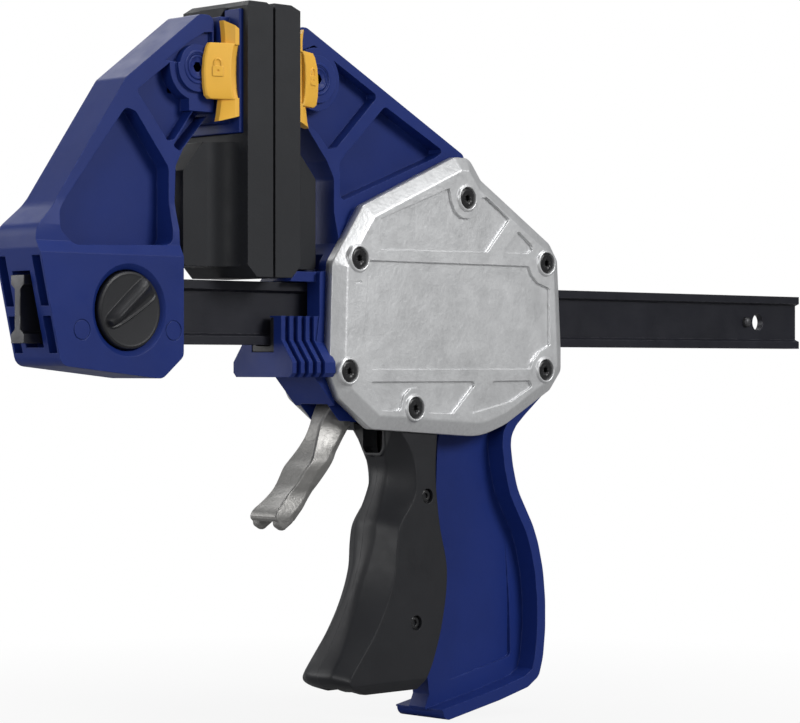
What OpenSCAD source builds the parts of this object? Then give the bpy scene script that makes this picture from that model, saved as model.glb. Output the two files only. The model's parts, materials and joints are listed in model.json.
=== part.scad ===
// Quick release bar clamp: a fixed jaw and a sliding jaw on an I-section bar, squeezed shut by a
// trigger in front of a fixed handle and let go by a finger lever ahead of it.
// Frame: the origin is on the bar's centre line, in the plane where the two pads meet.
// +X runs along the bar from the fixed jaw to the sliding jaw, +Z is up, the handle hangs toward
// -Z and the screwed cover faces -Y. Outlines are lists of [X, Z], sections lists of [Y, Z].

/* [Bar] */
// Height of the I-section bar
bar_h = 21.8; // [20:0.1:23]
// Width of the bar's flanges
bar_w = 7; // [6:0.1:7.6]
// Thickness of the bar's web
web_t = 3; // [2.4:0.1:3.6]
// Thickness of a flange at its edge
flange_t = 3; // [2.4:0.1:3.4]
// Length of the bar
bar_len = 401.7; // [380:0.1:600]
// Length of bar behind the fixed pad's face
bar_tail = 94.4; // [92:0.1:100]
// Diameter of the hanging hole
hang_d = 7; // [5:0.1:9]
// Distance from the bar's end to the hanging hole
hang_inset = 25.3; // [16:0.1:28]
// Diameter of the stop pin that keeps the sliding jaw on the bar
stop_d = 4; // [3:0.1:5]
// Distance from the bar's end to the stop pin
stop_inset = 33.3; // [32:0.1:40]
// How far the stop pin stands out of the flanges
stop_out = 1.6; // [1:0.1:3]

/* [Pads] */
// Gap between the closed pads
pad_gap = 1; // [0.6:0.1:2]
// Thickness of a pad
pad_t = 11.4; // [10.5:0.1:12]
// Width of a pad
pad_w = 33.8; // [32:0.1:36]
// Clearance between the pads and the bar
pad_lift = 1; // [0.8:0.1:2]
// Height of a pad
pad_h = 93.1; // [90:0.1:94]
// Depth of the recess in a pad's back
pad_recess = 2; // [1.5:0.1:3]
// Width of a pad's side cheeks
cheek_t = 2.4; // [2:0.1:3]
// Width of the heel rib behind a pad
heel_w = 9.6; // [8:0.1:11]
// Height of the heel rib's top above the bar
heel_rise = 46.4; // [42:0.1:48]

/* [Swivels] */
// Distance of each swivel pin from the plane where the pads meet
pivot_x = 27.3; // [27:0.1:28]
// Height of the swivel pins above the bar's centre line
pivot_z = 81.6; // [80:0.1:84]
// Radius of a swivel pin
pin_r = 3; // [2.5:0.1:3.2]
// Radius of a swivel pin's round head
pin_head_r = 4.3; // [4:0.1:4.8]
// Radius of the boss round a swivel pin
boss_r = 8.3; // [8:0.1:8.6]
// How far the boss stands proud of the jaw
boss_out = 1.2; // [0.6:0.1:1.4]
// Radius of the step round the boss
collar_r = 11; // [10:0.1:11.4]
// Half width across flats of the socket in a swivel pin's head
socket_r = 1.7; // [1.4:0.1:2]

/* [Jaws] */
// Thickness of a jaw at its tip
jaw_w = 16; // [15:0.1:16.6]
// Thickness of a jaw's root and of the housing
core_w = 20.4; // [19.6:0.1:21]
// Thickness of the fixed jaw's block round the bar
block_w = 24.4; // [23:0.1:26]
// Thickness of the web between a jaw's ribs
rib_web = 3.6; // [3:0.1:5]
// Distance of each jaw's column from the plane where the pads meet
column_x = 35.8; // [35:0.1:37]
// Length of the fixed jaw's block along the bar
block_l = 59.1; // [58.6:0.1:62]
// Running clearance between the bar and what it slides through
bar_clear = 0.25; // [0.15:0.05:0.5]

/* [Lock knob] */
// Radius of the lock knob
knob_r = 13; // [12:0.1:13.6]
// Distance of the lock knob's axis from the plane where the pads meet
knob_x = 58.6; // [58:0.1:61]
// How far the knob's disc stands proud of the block
knob_out = 0.8; // [0.4:0.1:1.5]
// Thickness of the knob's disc
knob_t = 6.5; // [6:0.1:6.8]
// Height of the knob's finger ridge
ridge_h = 3.4; // [2:0.1:5]
// Radius of the lock pin
lock_pin_r = 2.5; // [2:0.1:2.8]

/* [Housing] */
// Thickness of a cover plate
cover_t = 6; // [5.4:0.1:6.6]
// Wall left in front of a cover plate's pocket
cover_wall = 2.6; // [2.2:0.1:3]
// Width of a cover plate's bevelled edge
bevel_w = 4.8; // [4:0.1:5.4]
// Depth of a cover plate's bevelled edge
bevel_d = 2.5; // [2:0.1:3]
// Depth of the panels in the near cover's face
panel_d = 0.6; // [0.3:0.1:1]
// Radius of a cover screw's shank
screw_r = 2; // [1.6:0.1:2.2]
// Radius of a cover screw's head
screw_head_r = 3.85; // [3.4:0.05:4]
// Radius of the raised ring round a cover screw
screw_ring_r = 4.7; // [4.5:0.1:5]
// Width of the nose under the bar
nose_w = 30.8; // [29:0.1:32]
// Distance of the nose's front from the plane where the pads meet
nose_x = 9.6; // [9:0.1:11]
// Depth of the nose's gripping grooves
groove_d = 1.8; // [1:0.1:2.2]
// Thickness of the guide insert between the nose and the bar
guide_t = 2.2; // [1.8:0.1:2.4]

/* [Handle] */
// Thickness of the handle's web
grip_web = 8.4; // [7.6:0.1:8.8]
// Width of the handle's rim
grip_w = 24; // [23:0.1:26]
// Thickness of the handle's rim
rim_t = 4.4; // [3.6:0.1:5]

/* [Trigger] */
// Width of the trigger
trigger_w = 25; // [24:0.1:25.4]
// Width of the slot in the trigger that the handle's web enters
trigger_slot = 16.4; // [16.2:0.1:17]
// Thickness of each arm of the trigger yoke
arm_t = 3.1; // [2.8:0.1:3.2]
// Radius of the trigger's pivot pin
trigger_pin_r = 3; // [2.5:0.1:3.4]
// Radius of a trigger screw's head
shell_screw_r = 2; // [1.7:0.1:2.2]

/* [Release lever] */
// Width of the release lever
lever_w = 10.8; // [10:0.1:11.4]
// Width of the release lever's flared lip
lip_w = 15; // [13:0.1:17]
// Wall thickness of the release lever
lever_t = 2.4; // [2:0.1:2.5]
// Radius of the release lever's pivot pin
lever_pin_r = 2.5; // [2:0.1:2.8]

/* [Bar grips] */
// Thickness of each drive plate
drive_t = 2.6; // [2:0.1:3]
// Thickness of the brake plate
brake_t = 3; // [2.4:0.1:3.4]
// Width of the drive and brake plates
plate_w = 19; // [17:0.1:19.6]
// Lean of the brake plate at rest, in degrees
brake_lean = 2.2; // [1.5:0.1:2.6]
// Radius of the drive spring
drive_spring_r = 3.9; // [3.4:0.1:4.2]
// Radius of the brake spring
brake_spring_r = 2.3; // [2:0.1:2.5]
// Radius of the springs' wire
wire_r = 0.55; // [0.4:0.05:0.7]

/* [Hidden] */
$fn = 48;
eps = 0.01;
cut = 1;             // how far a cut runs past the face it opens
fit = 0.03;          // radial clearance of a pin in its hole
gap = 0.3;           // clearance between pieces that move past each other

navy = [0.13, 0.18, 0.42];
charcoal = [0.2, 0.2, 0.22];
amber = [0.88, 0.66, 0.25];
silver = [0.78, 0.78, 0.78];
steel = [0.55, 0.56, 0.58];

half_h = bar_h / 2;
half_w = bar_w / 2;
bar_end = bar_len - bar_tail;
flange_slope = (bar_w - web_t) / 2 * 0.8;
hang_x = bar_end - hang_inset;
stop_x = bar_end - stop_inset;
channel_y = half_w + bar_clear;
channel_z = half_h + bar_clear;

pad_face = pad_gap / 2;
pad_back = pad_face + pad_t;
pad_bottom = half_h + pad_lift;
pad_top = pad_bottom + pad_h;
heel_back = column_x - 5.8;
heel_bottom = pad_bottom + 3.5;
heel_top = half_h + heel_rise;
carrier_back = pad_back + 1.5;
block_back = carrier_back + 4;
tab_y = 6.4;
tab_bottom = pad_top - 5.2;
tip_x = pivot_x - boss_r + gap;
tip_top = pivot_z + 18;
tongue_y = 3.3;
jaw_y = jaw_w / 2;
core_y = core_w / 2;
boss_y = jaw_y + boss_out;
latch_in = boss_y + gap;
latch_out = pad_w / 2 - cheek_t - 0.4;

block_y = block_w / 2;
fixed_end = column_x + block_l;
block_bottom = -half_h - 11.5;
end_slot = [7.1, block_y - 0.9];  // Y range of the slots in the block's end
knob_face = block_y + knob_out;
knob_back = knob_face - knob_t;
knob_shaft_r = lock_pin_r + 1.6;
lock_pin_out = 5.5;  // how far the pin draws back when the knob turns

cover_y = core_y + cover_t;
pocket_y = cover_y - cover_wall;
nose_y = nose_w / 2;
nose_bottom = -half_h - 11.1;
nose_arm_y = half_w + bar_clear + guide_t + 3.7;
guide_y = half_w + guide_t;
guide_top = -1.4;
front_x = 30;        // front wall of the covers
rear_x = 147.5;      // rear wall of the covers

// Axes of the hinges, [X, Z]
trigger_axis = [76, half_h + 11.1];
lever_axis = [56, -half_h - 13.1];
brake_axis = [48, half_h + 6.1];

drive_x = 82.9;      // front face of the drive plates
cavity_front = 39;
cavity_rear = 118;
cavity_top = 33;
cavity_floor = -half_h - 7.3;
swing_x = 54.5;      // front of the trigger's way out of the cavity
drive_spring_z = -half_h - drive_spring_r - wire_r - 2.4;
brake_spring_z = -half_h - brake_spring_r - wire_r - 1.4;
post_x = 58;         // front face of the brake spring's post
shell_y = trigger_w / 2;
slot_y = trigger_slot / 2;
arm_y = slot_y - 0.2;
lever_y = lever_w / 2;
bridge_z = -half_h - 24.1;       // underside of the bridge between the yoke's arms
brake_foot = -half_h - 6.6;      // where the brake plate narrows to its tail
brake_bottom = -half_h - 24;

// Outline of both cover plates
cover_outline = [[front_x, 18], [44.6, 38.2], [90.6, 57.6], [97.8, 57.6], [104, 49.9],
    [141, 27.8], [145.5, 21.5], [rear_x, -12], [rear_x, -20], [141.3, -27.2], [117, -39.9],
    [103.4, -44.1], [50, -40.2], [front_x, -21]];
cover_rounding = [5, 4, 4, 5, 3, 5, 3, 3, 4, 4, 10, 10, 5, 4];
// Cover screws, [X, Z]
screws = [[94.1, 42.8], [40.1, 19.5], [136.4, 20.3], [35.3, -19.9], [135.8, -19.6],
    [67.6, -33.1]];
// Outline of the fixed jaw
fixed_outline = [[-tip_x, pivot_z - 12.6], [-tip_x, tip_top], [-tip_x - 6.2, tip_top],
    [-56.7, 76.2], [-86.5, 33.5], [-fixed_end, 25.8], [-fixed_end + 0.2, 19.5],
    [-86.2, -half_h - 7.1], [-44.8, block_bottom], [-column_x, -15], [-column_x, 21.5],
    [-column_x - 0.6, 33], [-column_x - 0.1, 48.2], [-32.5, 54.4]];
fixed_rounding = [1.5, 3, 4, 4, 14, 6, 4, 4, 4, 3, 3, 12, 4, 4];
// Outline of the sliding jaw's arm, down into the housing
arm_outline = [[tip_x, pivot_z - 12.6], [tip_x, tip_top - 0.4], [tip_x + 3.6, tip_top - 0.4],
    [100.5, 59.2], [103.4, 50.2], [97, 30], [60, 30], [46, half_h + 4.6], [34, half_h + 4.6],
    [column_x, 24], [column_x, 47.6], [32.5, 53.4]];
arm_rounding = [1.5, 3, 3.5, 3, 3, 1, 1, 1, 1, 8, 4, 4];
// Outline of the block between the nose and the housing
neck_outline = [[24.5, nose_bottom], [24.5, -half_h - 6], [27, 0], [27, half_h + 3.6],
    [34, half_h + 4.6], [46, half_h + 4.6], [54, -38], [39, -37.4]];
// Rear outline of the handle, from the housing down to the toe
grip_outline = [[139, -29], [129.4, -36.2], [124.6, -40.2], [122, -44], [121.7, -48],
    [122.8, -55], [125.3, -64], [129.4, -70.7], [133.7, -77.6], [136.6, -84.5], [139.3, -94.8],
    [140.5, -106], [140.5, -117], [139.3, -127.4], [137, -134.4], [131, -138], [115.8, -141.6],
    [86.3, -147]];
grip_rounding = [0, 12, 8, 8, 12, 30, 30, 30, 30, 30, 40, 40, 40, 25, 5, 5, 60, 0];
// Front edge of the handle's web, from the foot up into the housing
web_front = [[84.6, -142.2], [86.6, -137.8], [85.4, -129], [88.6, -112], [91, -92], [89.8, -75],
    [90.4, -57], [91, -46], [93.5, -38], [99.5, -27]];
// Trigger stations: [Z, front X, rear X]
trigger_stations = [[-39, 57, 83.4], [-57, 64.3, 82.4], [-75, 58.3, 84.4], [-92, 54.8, 88.2],
    [-110, 47.2, 86], [-124, 35.6, 81.4], [-131, 34.6, 77.6], [-134.2, 46, 74.8]];
web_slot = 3;           // how near the narrow slot comes to the trigger's front
wide_slot = 6.5;        // how near the wide slot comes to it
// Trigger screws, [X, Z]
trigger_screw_at = [[77.6, -64.9], [72, -110.2]];
// Outline of the release lever below its pivot: front edge down, rear edge up
lever_front = [[41.5, -29], [37.6, -34], [32.4, -43.6], [27.6, -49.9], [22.4, -55.4],
    [18.6, -60.6], [14.6, -64.6]];
lever_lip = [[10.2, -68.4], [9.9, -70.6], [13, -74.4], [16.2, -74.2]];
lever_rear = [[21.6, -68.8], [27.8, -62], [32.5, -56.3], [38.7, -48.7], [45.5, -39.4]];
contact_x = 43.9;    // rear face of the lever's web where it meets the brake plate

// Outlines of the pockets in the jaws' sides
fixed_pocket = [[-56.8, 66.6], [-52.6, 65.2], [-38.8, 47.6], [-38.8, 21.8], [-79.5, 20.6],
    [-85.4, 25.6], [-84.6, 31.5]];
fixed_tip_pocket = [[-52.6, 72.2], [-48.9, 68], [-39.2, 56.2], [-36.4, 57], [-27, 69],
    [-18, 69], [-18, 90], [-26.4, 90.8]];
fixed_slot_pocket = [[-37, 54.8], [-34, 53.2], [-20.5, 67.6], [-20.5, 69], [-27, 69]];
moving_pocket = [[60.6, 74.4], [90.4, 60], [86, 57.4], [38.6, 39.4], [38.6, 53.4], [41.4, 56.4]];
moving_tip_pocket = [[26.4, 93.4], [57.2, 77.8], [37.4, 58.6], [33.2, 57.4], [28.5, 62.5],
    [18, 69], [18, 90]];
// Small blocks on the fixed jaw's sides under the swivel, low and high [X, Z]
jaw_rest = [[-30, 67], [-tip_x, 72]];

function unit(v) = v / norm(v);
// Points of an arc of radius r that rounds the corner b between a and c
function corner(a, b, c, r, n) = r <= 0 ? [b] :
    let (u = unit(a - b), v = unit(c - b), half = acos(u * v) / 2,
        back = min(r / tan(half), 0.45 * norm(a - b), 0.45 * norm(c - b)),
        rr = back * tan(half), o = b + unit(u + v) * rr / sin(half),
        p = b + u * back - o, q = b + v * back - o,
        a0 = atan2(p.y, p.x), turn = atan2(q.y, q.x) - a0,
        sweep = turn > 180 ? turn - 360 : turn < -180 ? turn + 360 : turn)
    [for (i = [0:n]) o + rr * [cos(a0 + sweep * i / n), sin(a0 + sweep * i / n)]];
// The closed outline p with each corner rounded, by one radius or by a list of them
function rounded(p, r, n = 4) = let (m = len(p))
    [for (i = [0:m - 1]) each
        corner(p[(i + m - 1) % m], p[i], p[(i + 1) % m], is_list(r) ? r[i] : r, n)];
// The open line p with its inner corners rounded
function rounded_line(p, r, n = 4) = let (m = len(p))
    [for (i = [0:m - 1]) each
        (i == 0 || i == m - 1 ? [p[i]] : corner(p[i - 1], p[i], p[i + 1], r[i], n))];
// The line p moved sideways by d, to the left of its direction
function beside(p, d) = let (m = len(p))
    [for (i = [0:m - 1])
        let (a = unit(p[max(i, 1)] - p[max(i, 1) - 1]),
            b = unit(p[min(i, m - 2) + 1] - p[min(i, m - 2)]))
        p[i] + d * [-a.y - b.y, a.x + b.x] / (1 + a * b)];
// The closed clockwise outline p moved inward by d
function inset(p, d) = let (m = len(p))
    [for (i = [0:m - 1])
        let (a = unit(p[i] - p[(i + m - 1) % m]), b = unit(p[(i + 1) % m] - p[i]))
        p[i] + d * [a.y + b.y, -a.x - b.x] / (1 + a * b)];
function reversed(p) = [for (i = [len(p) - 1:-1:0]) p[i]];

// A side outline stretched between two Y planes
module across(y0, y1) {
    translate([0, y1, 0]) rotate([90, 0, 0]) linear_extrude(y1 - y0) children();
}
// A cross-section stretched between two X planes
module along(x0, x1) {
    translate([x0, 0, 0]) rotate([90, 0, 90]) linear_extrude(x1 - x0) children();
}
// A round bar along Y at [x, z]
module round_y(at, r, y0, y1) {
    translate([at.x, y1, at.y]) rotate([90, 0, 0]) cylinder(r = r, h = y1 - y0);
}
module both_sides() {
    children();
    mirror([0, 1, 0]) children();
}
// What belongs to the fixed jaw is drawn as it stands, the sliding jaw's is its mirror image
module handed(side) {
    mirror([side > 0 ? 1 : 0, 0, 0]) children();
}
module box(low, high) {
    translate(low) cube(high - low);
}
// A coil of round wire along +X from the origin: the wire's rings run round a helix
module coil(length, radius, turns) {
    sides = 6;
    steps = turns * 14;
    ring = [for (i = [0:steps]) [for (k = [0:sides - 1])
        let (a = 360 * turns * i / steps, w = 360 * k / sides, r = radius - wire_r + wire_r * cos(w))
        [wire_r + (length - 2 * wire_r) * i / steps + wire_r * sin(w), r * cos(a), r * sin(a)]]];
    points = [for (r = ring) each r];
    walls = [for (i = [0:steps - 1], k = [0:sides - 1])
        let (a = i * sides + k, b = i * sides + (k + 1) % sides) [a, b, b + sides, a + sides]];
    ends = [[for (k = [sides - 1:-1:0]) k], [for (k = [0:sides - 1]) steps * sides + k]];
    polyhedron(points, concat(walls, ends));
}

// ---- bar ----
module bar_section() {
    slope = flange_slope / 2;
    polygon([for (s = [[1, 1], [1, -1], [-1, -1], [-1, 1]]) each
        let (side = [[half_w, half_h], [half_w, half_h - flange_t],
                [web_t / 2, half_h - flange_t - slope]],
            run = s.x * s.y > 0 ? side : reversed(side))
        [for (q = run) [q.x * s.x, q.y * s.y]]]);
}
module bar() {
    color(charcoal) difference() {
        along(-bar_tail, bar_end) bar_section();
        round_y([hang_x, 0], hang_d / 2, -bar_w, bar_w);
        round_y([stop_x, 0], stop_d / 2 + fit, -bar_w, bar_w);
        round_y([-knob_x, 0], lock_pin_r + fit, -bar_w, bar_w);
    }
}
module bar_stop_pin() {
    color(steel) round_y([stop_x, 0], stop_d / 2, -half_w - stop_out, half_w + stop_out);
}

// ---- fixed jaw ----
// Half section of a jaw: thin at the tip, thicker at the root
module jaw_section(low_y, low_z) {
    half = [[jaw_y, tip_top + cut], [jaw_y, 36], [core_y, 27], [core_y, 21.8],
        [low_y, 18], [low_y, low_z]];
    polygon(concat(half, [for (q = reversed(half)) [-q.x, q.y]]));
}
module pocket(outline, r, floor_y = rib_web / 2) {
    both_sides() across(floor_y, block_y + cut) polygon(rounded(outline, r));
}
// Pocket in a jaw's tip, which leaves the step round the boss standing
module tip_pocket(outline, at) {
    difference() {
        pocket(outline, 1.5, rib_web / 2 + 1.4);
        round_y(at, collar_r, -block_y - 2 * cut, block_y + 2 * cut);
    }
}
// Space in a jaw's tip for the swivel's tongue
module tongue_slot() {
    box([-pivot_x - boss_r, -tongue_y - gap, pivot_z - boss_r - 0.5],
        [-tip_x + cut, tongue_y + gap, pivot_z + boss_r + 0.5]);
}
module pivot_hole() {
    round_y([-pivot_x, pivot_z], pin_r + fit, -boss_y - cut, boss_y + cut);
    round_y([-pivot_x, pivot_z], pin_head_r + fit, -boss_y - cut, -boss_y + 2.5);
}
module fixed_jaw() {
    color(navy) difference() {
        union() {
            difference() {
                intersection() {
                    across(-block_y, block_y) polygon(rounded(fixed_outline, fixed_rounding));
                    along(-fixed_end - cut, 0) jaw_section(block_y, block_bottom - cut);
                }
                pocket(fixed_pocket, 3);
                tip_pocket(fixed_tip_pocket, [-pivot_x, pivot_z]);
                pocket(fixed_slot_pocket, 1);
            }
            box([jaw_rest[0].x, -jaw_y, jaw_rest[0].y], [jaw_rest[1].x, jaw_y, jaw_rest[1].y]);
            round_y([-pivot_x, pivot_z], boss_r, -boss_y, boss_y);
        }
        tongue_slot();
        pivot_hole();
        box([-fixed_end - cut, -half_w, -half_h], [0, half_w, half_h]);
        // wide mouth round the bar's end
        box([-fixed_end - cut, -half_w - 1.2, -half_h - 1.3],
            [-fixed_end + 12, half_w + 1.2, half_h + 1.3]);
        // slots in the end face
        both_sides() {
            box([-fixed_end - cut, end_slot[0], 1], [-fixed_end + 14, end_slot[1], 17]);
            box([-fixed_end - cut, end_slot[0], -14], [-fixed_end + 14, end_slot[1], -2.2]);
        }
        // seat of the lock knob
        round_y([-knob_x, 0], knob_r + gap, -block_y - cut, -knob_back + gap);
        round_y([-knob_x, 0], knob_shaft_r + gap, -block_y, 0);
    }
}
module pivot_pin() {
    difference() {
        union() {
            round_y([-pivot_x, pivot_z], pin_r, -boss_y + 1, boss_y);
            round_y([-pivot_x, pivot_z], pin_head_r, -boss_y - 0.2, -boss_y + 2.4);
        }
        translate([-pivot_x, -boss_y + 1.6, pivot_z]) rotate([90, 0, 0])
            cylinder(r = socket_r, h = 3, $fn = 6);
    }
}
module fixed_pivot_pin() {
    color(navy) pivot_pin();
}

// ---- lock knob ----
module lock_knob() {
    ridge = [[-knob_r + 1.2, -2.4], [knob_r - 1.2, -2.4], [knob_r - 1.2, 2.4], [-knob_r + 1.2, 2.4]];
    color(charcoal) difference() {
        union() {
            round_y([-knob_x, 0], knob_r, -knob_face, -knob_back);
            round_y([-knob_x, 0], knob_shaft_r, -knob_back, -channel_y - 0.2);
            translate([-knob_x, 0, 0]) rotate([0, -31, 0]) across(-knob_face - ridge_h, -knob_face)
                polygon(rounded(ridge, 2.2));
        }
        round_y([-knob_x, 0], lock_pin_r + fit, -knob_back - lock_pin_out - 0.4, 0);
    }
}
module lock_pin() {
    color(steel) round_y([-knob_x, 0], lock_pin_r, -knob_back, web_t / 2 + 1.4);
}

// ---- swivels and pads, drawn on the fixed jaw's side ----
module swivel_jaw() {
    difference() {
        union() {
            // plate in the pad's back
            box([-carrier_back, -pad_w / 2 + cheek_t + 0.1, heel_top + 3],
                [-pad_back + pad_recess, pad_w / 2 - cheek_t - 0.1, pad_top - 3]);
            // spine between the plate and the jaw
            box([-block_back, -latch_in + gap, pivot_z - 18],
                [-carrier_back, latch_in - gap, tab_bottom - 0.4]);
            // tongue into the jaw's slot
            across(-tongue_y, tongue_y) polygon([[-block_back + eps, pivot_z - 6.5],
                [-block_back + eps, pivot_z + 6.5], [-pivot_x, pivot_z + 6.5],
                [-pivot_x, pivot_z - 6.5]]);
            round_y([-pivot_x, pivot_z], 6.5, -tongue_y, tongue_y);
        }
        round_y([-pivot_x, pivot_z], pin_r + fit, -tongue_y - cut, tongue_y + cut);
        // notch for the pad's tab
        box([-carrier_back - cut, -tab_y - 0.1, tab_bottom - 0.1],
            [-pad_back + pad_recess + cut, tab_y + 0.1, pad_top]);
    }
}
module pad() {
    chamfer = 2;
    side = [[-pad_face, pad_bottom], [-pad_face, pad_top - 1.6], [-pad_face - 1.2, pad_top],
        [-pad_back + 2.4, pad_top], [-pad_back, pad_top - 2], [-pad_back, pad_bottom + 4],
        [-pad_back + 4, pad_bottom]];
    front = [[-pad_w / 2, pad_bottom], [pad_w / 2, pad_bottom], [pad_w / 2, pad_top - chamfer],
        [pad_w / 2 - chamfer, pad_top], [chamfer - pad_w / 2, pad_top],
        [-pad_w / 2, pad_top - chamfer]];
    fillet_r = 8;
    root = [for (i = [0:6]) let (a = 15 * i)
        [-pad_back - fillet_r * (1 - cos(a)), heel_w / 2 + fillet_r * (1 - sin(a))]];
    heel = [[-pad_back + 1, heel_bottom], [-pad_back + 1, heel_top], [-heel_back + 8.8, heel_top],
        [-heel_back, heel_top - 10.2], [-heel_back, heel_bottom]];
    difference() {
        union() {
            intersection() {
                across(-pad_w / 2, pad_w / 2) polygon(side);
                along(-pad_back, -pad_face) polygon(front);
            }
            intersection() {
                across(-pad_w / 2, pad_w / 2) polygon(rounded(heel, [0, 0, 1, 1.5, 1.5]));
                translate([0, 0, heel_bottom]) linear_extrude(heel_top - heel_bottom)
                    polygon(concat([[-pad_back + 1, heel_w / 2 + fillet_r]], root,
                        [[-heel_back, heel_w / 2], [-heel_back, -heel_w / 2]],
                        [for (q = reversed(root)) [q.x, -q.y]],
                        [[-pad_back + 1, -heel_w / 2 - fillet_r]]));
            }
        }
        box([-pad_back - cut, -pad_w / 2 + cheek_t, heel_top + 2.9],
            [-pad_back + pad_recess, pad_w / 2 - cheek_t, pad_top - 2.9]);
    }
    // tab that snaps over the swivel jaw's plate
    along(-carrier_back, -pad_back + pad_recess + eps) polygon([[-tab_y, pad_top - 2],
        [-tab_y, pad_top - 3], [2 - tab_y, tab_bottom], [tab_y - 2, tab_bottom],
        [tab_y, pad_top - 3], [tab_y, pad_top - 2]]);
}
module latch() {
    reach = block_back + 6.8;
    body = [[-reach, -latch_in], [-reach + 0.6, -latch_in - 1.2], [-carrier_back - 2.6, -latch_out],
        [-carrier_back - 0.2, -latch_out], [-carrier_back - 0.2, -latch_in]];
    tab = [[-reach + 5, -latch_in], [-reach + 5, -latch_in - 1.2], [-carrier_back - 2.6, -latch_out],
        [-carrier_back - 0.2, -latch_out], [-carrier_back - 0.2, -latch_in]];
    translate([0, 0, pivot_z - 9.4]) linear_extrude(19.2) polygon(body);
    translate([0, 0, pivot_z - 16.8]) linear_extrude(33.4) polygon(tab);
}
module fixed_swivel_jaw() {
    color(navy) swivel_jaw();
}
module fixed_pad() {
    color(charcoal) pad();
}
module fixed_latch() {
    color(amber) latch();
}
module moving_swivel_jaw() {
    color(navy) handed(1) swivel_jaw();
}
module moving_pad() {
    color(charcoal) handed(1) pad();
}
module moving_latch() {
    color(amber) handed(1) latch();
}
module moving_pivot_pin() {
    color(navy) handed(1) pivot_pin();
}

// ---- sliding jaw body: jaw, housing, nose and handle in one moulding ----
module nose() {
    side = [[nose_arm_y, -0.9], [nose_arm_y, -9.2], [nose_y, -16.8], [nose_y, nose_bottom + 1.5],
        [nose_y - 1.5, nose_bottom]];
    ring = concat(side, [for (q = reversed(side)) [-q.x, q.y]]);
    inner = [for (q = ring) [q.x > 0 ? q.x - groove_d : q.x + groove_d, q.y]];
    pitch = 3.76;
    difference() {
        along(nose_x, front_x - gap) polygon(ring);
        for (i = [0:3]) let (x = nose_x + 1.8 + pitch * i) difference() {
            box([x, -nose_y - cut, nose_bottom - cut], [x + 2.1, nose_y + cut, cut]);
            along(x - cut, x + 2.1 + cut) polygon(inner);
        }
    }
}
module cavity() {
    across(-core_y - cut, core_y + cut)
        polygon([[cavity_front, half_h + 1], [brake_axis.x - 4, brake_axis.y + gap],
            [brake_axis.x + 8, brake_axis.y + gap], [62, cavity_top - 4], [67, cavity_top],
            [88, cavity_top], [cavity_rear, half_h + 11], [cavity_rear, -27], [111, -33],
            [111, -50], [swing_x, -50], [swing_x, -38.4], [62, -38.4], [62, cavity_floor],
            [cavity_front, cavity_floor]]);
    // way out for the release lever
    across(-lever_y - 1.6, lever_y + 1.6)
        polygon([[33.5, -31.2], [41, -23.5], [44, cavity_floor + cut],
            [62 + eps, cavity_floor + cut], [62 + eps, -50], [33.5, -50]]);
}
module grip() {
    rear = rounded_line(grip_outline, grip_rounding);
    inner = rounded_line(beside(grip_outline, -rim_t), [for (r = grip_rounding) max(r - rim_t, 0)]);
    difference() {
        across(-grip_w / 2, grip_w / 2) polygon(concat(rear, reversed(inner)));
        // the covers fit over the rim's upper end
        both_sides() across(core_y, grip_w) polygon(rounded(cover_outline, cover_rounding));
    }
    across(-grip_web / 2, grip_web / 2)
        polygon(concat(rounded_line(beside(grip_outline, -rim_t / 2),
            [for (r = grip_rounding) max(r - rim_t / 2, 0)]), web_front));
}
module moving_jaw_body() {
    color(navy) difference() {
        union() {
            difference() {
                union() {
                    intersection() {
                        across(-core_y, core_y) polygon(rounded(arm_outline, arm_rounding));
                        along(0, rear_x) jaw_section(core_y, 0);
                    }
                    across(-core_y, core_y)
                        polygon(rounded(inset(cover_outline, 0.7), cover_rounding));
                    across(-core_y, core_y) polygon(rounded(neck_outline, [1, 1, 2, 1, 0, 0, 0, 2]));
                }
                pocket(moving_pocket, 2);
                tip_pocket(moving_tip_pocket, [pivot_x, pivot_z]);
                // room for the pad's heel when the pad swivels
                box([front_x, -heel_w / 2 - 0.8, heel_bottom - 0.4],
                    [heel_back + 3, heel_w / 2 + 0.8, heel_bottom + 9]);
                cavity();
            }
            round_y([pivot_x, pivot_z], boss_r, -boss_y, boss_y);
            nose();
            grip();
            // tongue over the bar, under the pad's heel
            across(-jaw_y, jaw_y) polygon([[pad_back + 3.2, channel_z - eps],
                [pad_back + 6.4, heel_bottom - 0.8], [34, heel_bottom - 0.8], [34, channel_z - eps]]);
            // post behind the brake spring
            box([post_x, -core_y, cavity_floor - gap], [post_x + 3, core_y, brake_spring_z + 2.4]);
        }
        handed(1) tongue_slot();
        handed(1) pivot_hole();
        box([nose_x - cut, -channel_y, -channel_z], [rear_x + cut, channel_y, channel_z]);
        // seat of the guide insert
        box([nose_x - cut, -guide_y - fit, -channel_z - guide_t - fit],
            [front_x - 1 + fit, guide_y + fit, guide_top + fit]);
        for (s = screws) round_y(s, screw_r + fit, -core_y - cut, core_y + cut);
        round_y(lever_axis, lever_pin_r + fit, -core_y - cut, core_y + cut);
        // blind seat of the drive spring
        translate([cavity_rear - cut, 0, drive_spring_z]) rotate([0, 90, 0])
            cylinder(r = drive_spring_r + 0.4, h = cut + 1.5);
    }
}
module bar_guide() {
    color(charcoal) difference() {
        box([nose_x + 0.2, -guide_y, -channel_z - guide_t], [front_x - 1, guide_y, guide_top]);
        box([nose_x - cut, -channel_y + 0.1, -channel_z + 0.1], [front_x + cut, channel_y - 0.1, cut]);
    }
}

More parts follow.
